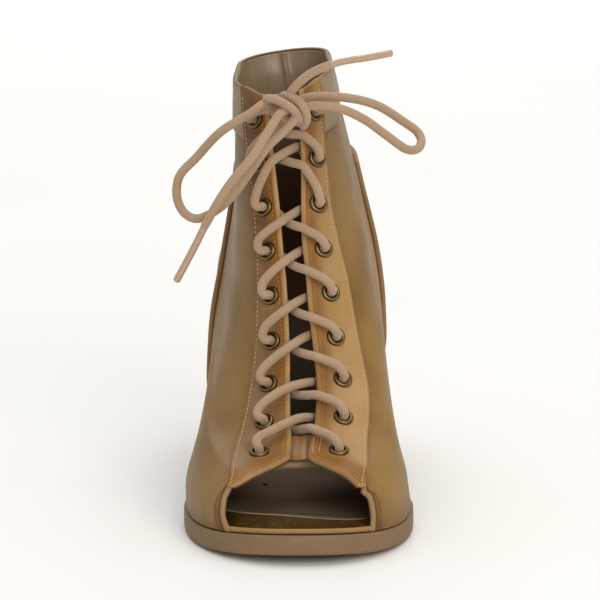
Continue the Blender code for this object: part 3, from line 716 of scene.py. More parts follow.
@dataclass(frozen=True)
class MouldedRubber:
    """Moulded thermoplastic rubber: a dull, finely speckled taupe with paler rubbed places."""

    name: str
    face: str
    dark: str
    rubbed: str
    roughness: float = 0.56
    cloud_mm: float = 14.0
    scuff_mm: float = 1.8
    scuff_stretch: float = 0.2
    grit_mm: float = 0.7

    @lru_cache(maxsize=None)
    def make(self) -> bpy.types.Material:
        """The material: cloudy taupe, scuffs drawn out along the walls and a fine mould grain.

        Returns:
            The material, the same one at every call.
        """
        material, tree, shader = start_material(self.name, {"IOR": 1.5, "Specular IOR Level": 0.35})
        where = add_node(tree, "TexCoord")
        # Pigment drifts in the melt, which leaves soft clouds.
        cloud = add_node(tree, "TexNoise", {
            "Scale": per_metre(self.cloud_mm), "Detail": 5.0, "Vector": where})
        colour = add_node(tree, "Mix", {
            "data_type": "RGBA", 6: linear(self.face), 7: linear(self.dark), 0: cloud})
        # Scuffs lie along the walls and are about five times as long as they are tall.
        drawn = add_node(tree, "Mapping", {
            "Scale": (self.scuff_stretch, self.scuff_stretch, 1.0), "Vector": where})
        scuff = add_node(tree, "TexNoise", {
            "Scale": per_metre(self.scuff_mm), "Detail": 3.0, "Vector": drawn})
        share = add_node(tree, "MapRange", {
            "From Min": 0.58, "From Max": 0.75, "To Max": 0.55, "Value": scuff})
        colour = add_node(tree, "Mix", {"data_type": "RGBA", 7: linear(self.rubbed), 0: share, 6: colour})
        tree.links.new(colour, shader.inputs["Base Color"])
        dull = add_node(tree, "MapRange", {
            "To Min": self.roughness, "To Max": self.roughness + 0.2, "Value": scuff})
        tree.links.new(dull, shader.inputs["Roughness"])
        # The mould's grain is about 0.1 mm; it is drawn coarser so that it shows.
        grit = add_node(tree, "TexNoise", {
            "Scale": per_metre(self.grit_mm), "Detail": 2.0, "Vector": where})
        bump = add_node(tree, "Bump", {"Strength": 0.3, "Distance": 0.0002, "Height": grit})
        tree.links.new(bump, shader.inputs["Normal"])
        return material


@dataclass(frozen=True)
class BrushedSock:
    """Brushed sock lining of the foot bed: dark grey-brown and dull, with painted light where it lies deep
    inside the toe.
    """

    name: str = "brushed_sock_lining"
    face: str = "#605140"
    dark: str = "#534636"
    # Pale colour of the painted light deep inside the toe.
    painted_light: str = "#cfb196"
    stain: str = "#0c0907"
    cloud_mm: float = 18.0
    nap_mm: float = 0.6
    lit_spot: Triple = (-0.004, -0.024, 0.018)
    lit_reach: tuple[float, float] = (0.045, 0.008)
    stain_squash: Triple = (2.3, 0.9, 1.0)
    stain_at: Triple = (-0.0301, -0.0351, 0.0136)
    stain_reach: tuple[float, float] = (0.0030, 0.0017)

    @lru_cache(maxsize=None)
    def make(self) -> bpy.types.Material:
        """The material: a cloudy nap, paler round a spot deep inside as painted light, with one dark stain.

        Returns:
            The material, the same one at every call.
        """
        material, tree, shader = start_material(self.name, {"Roughness": 0.9, "Specular IOR Level": 0.1})
        where = add_node(tree, "TexCoord")
        # The nap lies one way here and the other way there.
        cloud = add_node(tree, "TexNoise", {
            "Scale": per_metre(self.cloud_mm), "Detail": 4.0, "Vector": where})
        colour = add_node(tree, "Mix", {
            "data_type": "RGBA", 6: linear(self.face), 7: linear(self.dark), 0: cloud})
        # Painted light: the nap is paler over 90 mm round a spot deep inside the toe, where the boot shades
        # it.
        lit_spot = add_node(tree, "VectorMath", {"operation": "DISTANCE", 1: self.lit_spot, 0: where})
        rubbed = add_node(tree, "MapRange", {
            "interpolation_type": "SMOOTHSTEP", "From Min": self.lit_reach[0],
            "From Max": self.lit_reach[1], "Value": lit_spot})
        colour = add_node(tree, "Mix", {"data_type": "RGBA", 7: linear(self.painted_light), 0: rubbed, 6: colour})
        # One small black stain in front of it, whose place is given in the squashed space.
        drawn = add_node(tree, "Mapping", {"Scale": self.stain_squash, "Vector": where})
        near = add_node(tree, "VectorMath", {"operation": "DISTANCE", 1: self.stain_at, 0: drawn})
        stain = add_node(tree, "MapRange", {
            "From Min": self.stain_reach[0], "From Max": self.stain_reach[1], "Value": near})
        colour = add_node(tree, "Mix", {"data_type": "RGBA", 7: linear(self.stain), 0: stain, 6: colour})
        tree.links.new(colour, shader.inputs["Base Color"])
        # The nap's fibres are finer than 0.1 mm; they are drawn coarser so that they show.
        nap = add_node(tree, "TexNoise", {"Scale": per_metre(self.nap_mm), "Detail": 3.0, "Vector": where})
        bump = add_node(tree, "Bump", {"Strength": 0.4, "Distance": 0.0003, "Height": nap})
        tree.links.new(bump, shader.inputs["Normal"])
        return material


@dataclass(frozen=True)
class AntiqueBrass:
    """Antiqued brass: stamped, dipped dark and rubbed back, so high places gleam and hollows stay brown."""

    name: str = "antique_brass"
    bright: str = "#8f774a"
    dark: str = "#33281a"
    cloud_mm: float = 2.5

    @lru_cache(maxsize=None)
    def make(self) -> bpy.types.Material:
        """The material: a metal whose patina gathers where the eyelet is marked.

        Returns:
            The material, the same one at every call.
        """
        material, tree, shader = start_material(self.name, {"Metallic": 1.0})
        where = add_node(tree, "TexCoord")
        # The dip leaves patina in clouds a little narrower than the flange.
        cloud = add_node(tree, "TexNoise", {
            "Scale": per_metre(self.cloud_mm), "Detail": 3.0, "Vector": where})
        hollow = add_node(tree, "Attribute", {"attribute_name": Mark.BURNISH.value})
        share = add_node(tree, "Math", {
            "operation": "MULTIPLY_ADD", 1: 0.55, "use_clamp": True, 0: cloud, 2: hollow})
        colour = add_node(tree, "Mix", {
            "data_type": "RGBA", 6: linear(self.bright), 7: linear(self.dark), 0: share})
        tree.links.new(colour, shader.inputs["Base Color"])
        dull = add_node(tree, "MapRange", {"To Min": 0.26, "To Max": 0.5, "Value": share})
        tree.links.new(dull, shader.inputs["Roughness"])
        return material


@dataclass(frozen=True)
class CottonBraid:
    """Round braided cotton cord: matt, pinkish beige, with plaits that cross all round it."""

    name: str = "braided_cotton"
    face: str = "#b3967a"
    # Colour of the braid's hollows as painted shade, and of its soiled patches.
    deep: str = "#997d5e"
    plaits: int = 10
    pitch_mm: float = 2.0
    fuzz_mm: float = 0.7
    soil_mm: float = 12.0

    @lru_cache(maxsize=None)
    def make(self) -> bpy.types.Material:
        """The material: crossing plaits from the cord's own map, with fuzz between them.

        Returns:
            The material, the same one at every call.
        """
        material, tree, shader = start_material(self.name, {
            "Roughness": 0.9, "Specular IOR Level": 0.15, "Sheen Weight": 0.25, "Sheen Roughness": 0.6})
        where = add_node(tree, "TexCoord")
        # The map's U is one turn round the cord and its V is in millimetres along it. The plaits are
        # drawn a little coarser than a real braid's so that they show.
        across = add_node(tree, "SeparateXYZ", {"Vector": where.node.outputs["UV"]}).node.outputs
        turn = add_node(tree, "Math", {
            "operation": "MULTIPLY", 1: 2 * math.pi * self.plaits, 0: across["X"]})
        ways = []
        for way in (1, -1):
            phase = add_node(tree, "Math", {
                "operation": "MULTIPLY_ADD", 1: way * 2 * math.pi / self.pitch_mm, 0: across["Y"], 2: turn})
            ways.append(add_node(tree, "Math", {"operation": "SINE", 0: phase}))
        plait = add_node(tree, "Math", {"operation": "MAXIMUM", 0: ways[0], 1: ways[1]})
        # Loose fibres, drawn far coarser than they are so that they show.
        fuzz = add_node(tree, "TexNoise", {
            "Scale": per_metre(self.fuzz_mm), "Detail": 3.0, "Vector": where})
        depth = add_node(tree, "Math", {"operation": "ADD", 0: plait, 1: fuzz})
        # The lower places of the plaits and the fuzz take the deeper colour: painted shade in the braid's
        # hollows.
        share = add_node(tree, "MapRange", {
            "From Min": -0.3, "From Max": 1.5, "To Min": 0.75, "To Max": 0.0, "Value": depth})
        # Handling soils a lace in patches about as long as a thumb is wide.
        soil = add_node(tree, "TexNoise", {
            "Scale": per_metre(self.soil_mm), "Detail": 2.0, "Vector": where})
        grubby = add_node(tree, "MapRange", {
            "From Min": 0.4, "From Max": 0.7, "To Max": 0.3, "Value": soil})
        total = add_node(tree, "Math", {"operation": "ADD", "use_clamp": True, 0: share, 1: grubby})
        colour = add_node(tree, "Mix", {
            "data_type": "RGBA", 6: linear(self.face), 7: linear(self.deep), 0: total})
        tree.links.new(colour, shader.inputs["Base Color"])
        bump = add_node(tree, "Bump", {"Strength": 0.5, "Distance": 0.0002, "Height": depth})
        tree.links.new(bump, shader.inputs["Normal"])
        return material


@dataclass(frozen=True)
class PlainFinish:
    """A plain finish of two near tones, such as thread, film or paper, with a fine relief if it has one."""

    name: str
    face: str
    deep: str
    drift_mm: float
    sockets: tuple[tuple[str, float], ...]
    relief: float = 0.0

    @lru_cache(maxsize=None)
    def make(self) -> bpy.types.Material:
        """The material: one tone that drifts into the other, and stands out where it does.

        Returns:
            The material, the same one at every call.
        """
        material, tree, shader = start_material(self.name, dict(self.sockets))
        where = add_node(tree, "TexCoord")
        drift = add_node(tree, "TexNoise", {
            "Scale": per_metre(self.drift_mm), "Detail": 2.0, "Vector": where})
        colour = add_node(tree, "Mix", {
            "data_type": "RGBA", 6: linear(self.face), 7: linear(self.deep), 0: drift})
        tree.links.new(colour, shader.inputs["Base Color"])
        if self.relief:
            bump = add_node(tree, "Bump", {"Strength": 0.3, "Distance": self.relief, "Height": drift})
            tree.links.new(bump, shader.inputs["Normal"])
        return material


# Pigment-coated cowhide, pressed smooth: satin, with broad soft highlights over cloudy dye.
# Its burnishing brown also serves as painted shade on the side panels.
SIDE_LEATHER = CoatedLeather("tan_coated_leather", "#94733e", "#836231", "#62431f", "#957a54", "#7d6a4f")
# The same hide in a golden dye, wiped darker by hand: it glows brown along its folds. Its dull dark brown tone
# is painted shade on the outer facing.
STAY_LEATHER = CoatedLeather(
    "golden_tan_coated_leather", "#b29063", "#a6834f", "#875b27", "#c4a274", "#6b4e33")
# The same hide skived and turned in, with waxed edges: rosier, with a painted shadow line inside its rim.
COUNTER_LEATHER = CoatedLeather(
    "brown_edged_tan_leather", "#a3835a", "#94744a", "#6b4d2f", "#8a6844", "#8f7d66")
# The same hide, greyed by handling: the palest and coolest tan on the boot.
BAND_LEATHER = CoatedLeather("pale_tan_coated_leather", "#998868", "#87724f", "#6e5733", "#98835f", "#8f8371")
# Soft hide folded over the foot bed's front and left unglazed: matt, and painted nearly black behind its roll
# as painted shade.
TRIM_LEATHER = CoatedLeather(
    "golden_folded_leather", "#9a7343", "#886336", "#3d2a0c", "#9d7b50", "#8c7048",
    grain_mm=1.1, roughness=0.62, coat=0.0, shine=0.08)
# A scrap of hide kept from the light under the laces: it still has its rosy first colour.
# Its paler colour also paints a highlight along the tab's ridge.
TAB_LEATHER = CoatedLeather("rosy_tan_leather", "#a07855", "#8f6948", "#6f4f33", "#b48e6a", "#8c7048")
# Raw cut edge of the sock's backing: pale, fibrous and matt.
SOCK_EDGE = CoatedLeather(
    "pale_cut_leather", "#8d7c63", "#7d6c54", "#6b5b44", "#9c8b70", "#a89a86",
    grain_mm=0.8, roughness=0.8, coat=0.0)
# Polyurethane film glazed on a woven back: streaks that catch the light, and below them a dull lining that
# grips the heel, darkened as painted shade.
LINING = GlazedLining()
# Thermoplastic rubber from a blasted mould: dull taupe, grazed paler along its walls.
SOLE_RUBBER = MouldedRubber("taupe_moulded_rubber", "#866d4c", "#735d42", "#988060")
# The heel's block, moulded in the same taupe and a little duller.
HEEL_WRAP = MouldedRubber("taupe_heel_block", "#836a4d", "#705a42", "#94795a", 0.6)
# Hard moulded top piece: dark, dull and grazed by the ground.
HEEL_TIP = MouldedRubber("dark_heel_tip", "#4a3d2f", "#3a3026", "#6b5a45", 0.65)
# Microfibre brushed to a nap: it scatters the light, and is painted paler deep inside the toe as painted
# light.
SOCK = BrushedSock()
# Stamped brass, dipped dark and rubbed back: dull gleams on the rolled flange, brown hollows.
BRASS = AntiqueBrass()
# Cotton yarn braided round a core: matt, with small diamonds and painted shade between them.
COTTON = CottonBraid()
# Bonded polyester filaments: smooth, so that each stitch has a small soft glint. Their twist is finer
# than 0.3 mm and is drawn coarser so that it shows.
THREAD_SOCKETS = (("Roughness", 0.6), ("Specular IOR Level", 0.35))
CREAM_THREAD = PlainFinish("cream_polyester_thread", "#cdbb93", "#a89166", 1.2, THREAD_SOCKETS, 0.0001)
TAN_THREAD = PlainFinish("tan_polyester_thread", "#c9975c", "#9a6d38", 1.2, THREAD_SOCKETS, 0.0001)
# Clear film shrunk over the braid: a hard, wet gloss over the cord's own colour, puckered as it shrank.
FILM_SOCKETS = (("Roughness", 0.4), ("Coat Weight", 1.0), ("Coat Roughness", 0.12), ("Coat IOR", 1.48))
ACETATE = PlainFinish("acetate_tipped_cord", "#bda084", "#a08467", 1.5, FILM_SOCKETS, 0.0002)
# Matt paper: it takes soft shadows and shows no highlight. Its shade drifts over about a foot.
PAPER_SOCKETS = (("Roughness", 0.9), ("Specular IOR Level", 0.1))
PAPER = PlainFinish("matt_studio_paper", "#f4f3f1", "#eeedea", 300.0, PAPER_SOCKETS)


def new_piece(name: str, points: np.ndarray, faces: list, materials: list[bpy.types.Material],
              face_material: np.ndarray | None = None, marks: dict[Mark, np.ndarray] | None = None,
              uv: np.ndarray | None = None) -> bpy.types.Object:
    """A smooth closed piece from its points and faces.

    Args:
        name: The piece's name.
        points: Its points in millimetres.
        faces: Its faces as point numbers.
        materials: Its materials.
        face_material: Number of the material of each face, if there are several.
        marks: Amounts painted on its points.
        uv: Map of each face corner, in the order of faces.

    Returns:
        The piece, linked to the scene.
    """
    mesh = bpy.data.meshes.new(name)
    mesh.from_pydata(to_metres(points).tolist(), [], faces)
    for material in materials:
        mesh.materials.append(material)
    if face_material is not None:
        mesh.polygons.foreach_set("material_index", np.asarray(face_material, np.int32))
    for mark, values in (marks or {}).items():
        layer = mesh.attributes.new(mark.value, "FLOAT", "POINT")
        layer.data.foreach_set("value", np.asarray(values, np.float32).ravel())
    if uv is not None:
        mesh.uv_layers.new(name="cord").data.foreach_set("uv", np.asarray(uv, np.float32).ravel())
    work = bmesh.new()
    work.from_mesh(mesh)
    bmesh.ops.recalc_face_normals(work, faces=work.faces)
    work.to_mesh(mesh)
    work.free()
    mesh.shade_smooth()
    piece = bpy.data.objects.new(name, mesh)
    bpy.context.scene.collection.objects.link(piece)
    return piece


def settle(piece: bpy.types.Object, slot: Slot | None, *nodes: str) -> bpy.types.Object:
    """Let a piece ride on the boot, hide the CAD nodes it stands for, and report it.

    Args:
        piece: The piece.
        slot: Its slot, if it has one; not used.
        nodes: The CAD nodes that it hides.

    Returns:
        The same piece.
    """
    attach(piece, BODY)
    if nodes:
        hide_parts(*nodes)
    LOG.info("%s: %d faces, stands for %s", piece.name, len(piece.data.polygons),
             ", ".join(nodes) or "nothing")
    return piece


def carve(piece: bpy.types.Object, cutter: bpy.types.Object) -> None:
    """Cut one piece out of another and remove the cutter.

    Args:
        piece: Piece that is cut.
        cutter: Piece that it is cut with.
    """
    change = piece.modifiers.new("holes", "BOOLEAN")
    change.operation, change.solver, change.object = "DIFFERENCE", "EXACT", cutter
    whole = bpy.data.meshes.new_from_object(piece.evaluated_get(bpy.context.evaluated_depsgraph_get()))
    piece.modifiers.clear()
    piece.data = whole
    whole.name = piece.name
    bpy.data.objects.remove(cutter)


def stack(loops: list[np.ndarray]) -> tuple[np.ndarray, list]:
    """A solid between closed loops on one another, capped by strips across them.

    Args:
        loops: Loops of as many points each, which run round from one end of the boot in pairs.

    Returns:
        The solid's points and faces.
    """
    count = len(loops[0])
    faces = []
    for k in range(len(loops) - 1):
        for i in range(count):
            j = (i + 1) % count
            faces.append((k * count + i, k * count + j, (k + 1) * count + j, (k + 1) * count + i))
    for base in (0, (len(loops) - 1) * count):
        faces.append((base, base + 1, base + count - 1))
        faces.append((base + count // 2 - 1, base + count // 2, base + count // 2 + 1))
        faces += [(base + i, base + i + 1, base + count - i - 1, base + count - i)
                  for i in range(1, count // 2 - 1)]
    return np.concatenate(loops), faces


def rings_round(line: np.ndarray, radius: np.ndarray | float, across: np.ndarray, other: np.ndarray,
                sides: int) -> np.ndarray:
    """Rings of points round a line.

    Args:
        line: The line's points.
        radius: Radius of every ring, or one for each.
        across: Unit vectors across the line, one for each point.
        other: Vectors square to those.
        sides: Points of each ring.

    Returns:
        The rings, one for each of the line's points.
    """
    turns = (np.arange(sides) * 2 * math.pi / sides)[None, :, None]
    out = np.cos(turns) * across[:, None] + np.sin(turns) * other[:, None]
    return line[:, None] + np.broadcast_to(radius, len(line))[:, None, None] * out


def tube_faces(rings: int, sides: int) -> list[list[int]]:
    """Faces of a tube through rings of points, with a cap at either end.

    Args:
        rings: How many rings there are.
        sides: How many points each of them has.

    Returns:
        The faces as point numbers, the caps last.
    """
    net = np.arange(rings * sides).reshape(rings, sides)
    beside = np.roll(net, -1, axis=1)
    quads = np.stack([net[:-1], beside[:-1], beside[1:], net[1:]], axis=-1).reshape(-1, 4)
    return quads.tolist() + [net[0].tolist(), net[-1].tolist()]


@dataclass
class Panel:
    """A leather panel with real thickness, on rows of levels and columns of arcs, round along its rim."""

    levels: np.ndarray
    arcs: np.ndarray
    top: np.ndarray
    bottom: np.ndarray
    rim: np.ndarray
    marks: dict[Mark, np.ndarray] = field(default_factory=dict)

    def build(self, name: str, outside: bpy.types.Material, inside: bpy.types.Material) -> bpy.types.Object:
        """The panel as a closed piece.

        Args:
            name: The piece's name.
            outside: Material of its face.
            inside: Material of its back.

        Returns:
            The piece.
        """
        rows, cols = self.arcs.shape
        share = np.array(np.broadcast_to(self.rim, self.arcs.shape))
        share[[0, -1], :] = 0
        share[:, [0, -1]] = 0
        middle, half = (self.top + self.bottom) / 2, (self.top - self.bottom) / 2 * share
        face = np.stack([LAST.skin(v, a, m + h) for v, a, m, h in zip(self.levels, self.arcs, middle, half)])
        back = np.stack([LAST.skin(v, a, m - h) for v, a, m, h in zip(self.levels, self.arcs, middle, half)])
        number = np.arange(rows * cols).reshape(rows, cols)
        under = number.copy()
        under[1:-1, 1:-1] = rows * cols + np.arange((rows - 2) * (cols - 2)).reshape(rows - 2, cols - 2)
        faces = []
        for net in (number, under[:, ::-1]):
            quads = np.stack([net[:-1, :-1], net[:-1, 1:], net[1:, 1:], net[1:, :-1]], axis=-1)
            faces += quads.reshape(-1, 4).tolist()
        points = np.concatenate([face.reshape(-1, 3), back[1:-1, 1:-1].reshape(-1, 3)])
        marks = {}
        for mark, values in self.marks.items():
            whole = np.broadcast_to(values, self.arcs.shape)
            marks[mark] = np.concatenate([whole.ravel(), whole[1:-1, 1:-1].ravel()])
        return new_piece(name, points, faces, [outside, inside], np.repeat([0, 1], len(faces) // 2), marks)


def rim_steps(radius: float) -> np.ndarray:
    """Distances from a round edge at which a panel has a line of points."""
    return radius * np.array([0, 0.04, 0.15, 0.34, 0.62, 1.0])


def round_back(levels: np.ndarray, edges: dict[Side, np.ndarray], leans: dict[Side, np.ndarray],
               first: np.ndarray, columns: int, tail: Sequence[float] = (0,),
               least: float = 0.5) -> tuple[np.ndarray, np.ndarray]:
    """Rows of arcs from one front edge of a panel round the back of the boot to the other.

    Args:
        levels: Levels of the rows.
        edges: Arcs of the front edge on either side.
        leans: Share of a distance along a level that is square to that edge.
        first: Distances square to the edge at which the first points stand.
        columns: Number of points from the last of those to the first of the tail.
        tail: Distances before the middle of the back at which the last points stand.
        least: Least share that the first points are spread by.

    Returns:
        The arcs and their distances square to the nearer edge, one row for each level.
    """
    arcs, offs = [], []
    for k, level in enumerate(levels):
        row, off = [], []
        for side in Side:
            edge, lean = edges[side][k], leans[side][k]
            start = first / max(lean, least)
            stop = LAST.half_length(level, side) - edge - np.array(tail)
            run = np.concatenate([start, np.linspace(start[-1], stop[0], columns)[1:-1], stop])
            row.append(side.value * (edge + run))
            off.append(run * lean)
        arcs.append(np.concatenate([row[0], row[1][-2::-1]]))
        offs.append(np.concatenate([off[0], off[1][-2::-1]]))
    return np.array(arcs), np.array(offs)


@dataclass(frozen=True)
class StitchRow:
    """A row of lockstitches: how long each is, how far apart and how thick the thread is, in millimetres."""

    thread: PlainFinish
    length: float = 1.4
    pitch: float = 1.95
    radius: float = 0.21
    sides: int = 6
    shape: Triples = (
        (-0.5, 0.0, -0.45), (-0.42, 0.75, -0.1), (0.0, 1.0, 0.25), (0.42, 0.75, -0.1), (0.5, 0.0, -0.45),
    )

    def sew(self, name: str, lines: list[np.ndarray], carrier: bpy.types.Object) -> bpy.types.Object:
        """Rows of stitches laid on a piece.

        Args:
            name: Name of the stitches' piece.
            lines: Lines of points in millimetres that the rows follow.
            carrier: Piece that they are sewn through.

        Returns:
            The stitches as one piece.
        """
        tree = BVHTree.FromPolygons([v.co for v in carrier.data.vertices],
                                    [tuple(p.vertices) for p in carrier.data.polygons])
        points, faces, n = [], [], self.sides
        angles = np.arange(n) * 2 * math.pi / n
        for line in lines:
            even = bend_through(line, self.pitch)
            ways = np.gradient(even, axis=0)
            for at, way in zip(even[:-1] + np.diff(even, axis=0) / 2, ways[:-1]):
                spot, up, _, _ = tree.find_nearest(Vector(to_metres(at)))
                up = np.array(up)
                along = way - up * np.dot(way, up)
                along /= np.linalg.norm(along)
                across = np.cross(up, along)
                middle = np.array(spot) / MM + (0, BOOT_MIDDLE, 0)
                base = len(points)
                for run, size, height in self.shape:
                    core = middle + along * run * self.length + up * height * self.radius
                    points += [core + self.radius * size * (math.cos(a) * across + math.sin(a) * up)
                               for a in (angles if size else (0.0,))]
                faces += [(base, base + 1 + (i + 1) % n, base + 1 + i) for i in range(n)]
                for ring in (base + 1, base + 1 + n):
                    faces += [(ring + i, ring + (i + 1) % n, ring + n + (i + 1) % n, ring + n + i)
                              for i in range(n)]
                last = base + 1 + 2 * n
                faces += [(last + i, last + (i + 1) % n, last + n) for i in range(n)]
        return settle(new_piece(name, np.array(points), faces, [self.thread.make()]), None)


@dataclass
class SideLeather:
    """The side panels: one skin from the peep toe round the back, with the thick hem of the toe opening."""

    tuck: float = 0.9
    end: float = 0.991
    bead: float = 1.1
    bead_sunk: float = 0.7
    hem_width: float = 5.4
    hem_narrow: float = 2.9
    columns: int = 77
    least_lean: float = 0.6
    edge_steps: tuple[float, ...] = (1.4, 1.7, 2.0, 2.3, 2.6, 3.0, 3.6, 4.3, 4.8, 5.1, 5.4, 5.7, 6.4, 7.6)
    seam_steps: tuple[float, ...] = (7, 4.8, 3.4, 2.5, 1.9, 1.4, 1.0, 0.65, 0.32, 0)
    # Millimetres to a whole level, low down, half way up and at the collar.
    low_scale: float = 140.0
    side_scale: float = 165.0
    collar_scale: float = 200.0
    creases: tuple[Crease, ...] = (
        Crease(0.60, 30, 0.52, 78, 0.55, 5.5),
        Crease(0.53, 32, 0.45, 80, 0.40, 6.0),
        Crease(0.70, 26, 0.72, 60, 0.30, 6.0),
        Crease(0.17, 44, 0.23, 86, 0.20, 7.0),
        Crease(0.33, 40, 0.30, 84, 0.20, 8.0),
        Crease(0.61, -30, 0.54, -76, 0.50, 5.5),
        Crease(0.52, -33, 0.42, -82, 0.45, 6.5),
        Crease(0.74, -27, 0.70, -62, 0.35, 6.0),
        Crease(0.16, -46, 0.24, -84, 0.12, 7.0),
        Crease(0.36, -40, 0.31, -70, 0.15, 8.0),
    )

    def front(self, level: float, side: Side) -> float:
        """Arc of the skin's front edge: the toe opening's edge, and above it a tuck under the eyestay."""
        return LAST.seam(level, side) - self.tuck * float(ease(0.13, 0.15, level))

    def fold(self, levels: np.ndarray, arcs: np.ndarray) -> np.ndarray:
        """Lift of the skin from its creases, each a soft trough with a low ridge beside it.

        Args:
            levels: Levels of the rows.
            arcs: Arcs of every point.

        Returns:
            One lift for each point.
        """
        lift = np.zeros(arcs.shape)
        height = np.broadcast_to(levels[:, None] * self.side_scale, arcs.shape)
        for crease in self.creases:
            start = np.array([crease.arc, crease.level * self.side_scale])
            way = np.array([crease.end_arc, crease.end_level * self.side_scale]) - start
            reach = np.hypot(*way)
            way = way / reach
            along = (arcs - start[0]) * way[0] + (height - start[1]) * way[1]
            off = (arcs - start[0]) * -way[1] + (height - start[1]) * way[0]
            ends = ease(-0.25, 0.2, along / reach) * ease(1.25, 0.8, along / reach)
            lift += ends * crease.depth * (0.55 * hump(off, 1.9 * crease.width, crease.width)
                                           - hump(off, 0.0, crease.width))
        return lift

    def build(self) -> None:
        """Build, settle and sew the skin with its lining."""
        close = self.end - np.array([0, 0.0002, 0.0009, 0.0021, 0.0036, 0.006])
        levels = np.concatenate([[0, 0.0005, 0.0015, 0.003], np.arange(0.006, 0.16, 0.004),
                                 np.arange(0.163, 0.983, 0.0078), close[::-1]])
        edges = {s: np.array([self.front(v, s) for v in levels]) for s in Side}
        leans = {s: LAST.lean(levels, s.value * edges[s]) for s in Side}
        first = np.concatenate([rim_steps(self.bead), self.edge_steps])
        arcs, off = round_back(levels, edges, leans, first, self.columns, self.seam_steps, self.least_lean)
        high = levels[:, None]
        inner, outer = (np.array([[LAST.half_length(v, s)] for v in levels]) for s in Side)
        behind = np.where(arcs > 0, inner - arcs, outer + arcs)
        # The toe opening has a rolled bead and a flat hem behind it, which narrows upwards.
        hem = 1 - ease(0.137, 0.150, high)
        width = self.hem_width - (self.hem_width - self.hem_narrow) * ease(0.07, 0.14, high)
        inset = np.clip(off, 0, 2 * self.bead) - self.bead
        roll = np.sqrt(np.clip(self.bead ** 2 - inset ** 2, 0, None)) - self.bead_sunk
        bead = np.where(off < self.bead, self.bead - self.bead_sunk, np.maximum(roll, 0.0))
        strip = 0.40 * ease(2.1, 2.7, off) * (1 - ease(-0.45, 0.15, off - width))
        top = self.fold(levels, arcs) * ease(6, 14, off) + hem * (bead + strip) - 0.35 * hump(behind, 0, 0.6)
        # The lining thins to the collar and stands out in a seam up the back.
        bottom = -LAST.wall + 0.7 * ease(0.9, 0.99, high) - 1.3 * hump(behind, 0, 1.2) * ease(0.5, 0.6, high)
        rise = high * self.low_scale
        rim = (rounded(off, self.bead) * rounded((self.end - high) * self.collar_scale, 0.6)
               * rounded(rise, 0.4))
        # Darker along the sole, along the hem's lines, near the front edge above the hem and up the back, and
        # in two patches of painted shade.
        burnish = (0.55 * hump(rise, 0, 5)
                   + hem * (0.45 * ease(2.0, 2.6, off) * (1 - ease(-0.4, 0.6, off - width))
                            + 0.9 * hump(off - width, 0, 0.55) + 0.8 * hump(off, 2.25, 0.4))
                   + (1 - hem) * 0.45 * np.exp(-off / 4.0) + 0.5 * hump(behind, 0, 0.8)
                   # Painted shade: a patch low on the outer side and one half way up the inner side.
                   + 0.4 * hump(high, 0.25, 0.08) * hump(arcs, -48, 15)
                   + 0.35 * hump(high, 0.60, 0.06) * hump(arcs, 34, 14))
        marks = {
            Mark.BURNISH: burnish,
            Mark.EDGE: 0.8 * hem * (1 - ease(1.6, 2.1, off)),
            # The outer side is greyer, and the skin greys towards the collar.
            Mark.TONE_AND_SHADE: np.clip(np.where(arcs < 0, 0.35, 0.05) + 0.45 * ease(0.55, 0.95, high), 0, 0.85),
        }
        panel = Panel(levels, arcs, top, bottom, rim, marks)
        skin = panel.build("side_leather", SIDE_LEATHER.make(), LINING.make())
        settle(skin, Slot.UPPER, "upper")
        rows = np.linspace(0.665, 0.90, 30)
        lines = [np.array([LAST.skin(v, LAST.half_length(v, Side.INNER) + aside, 0.4)[0] for v in rows])
                 for aside in (-1.9, 1.9)]
        StitchRow(TAN_THREAD).sew("stitches_back_seam", lines, skin)


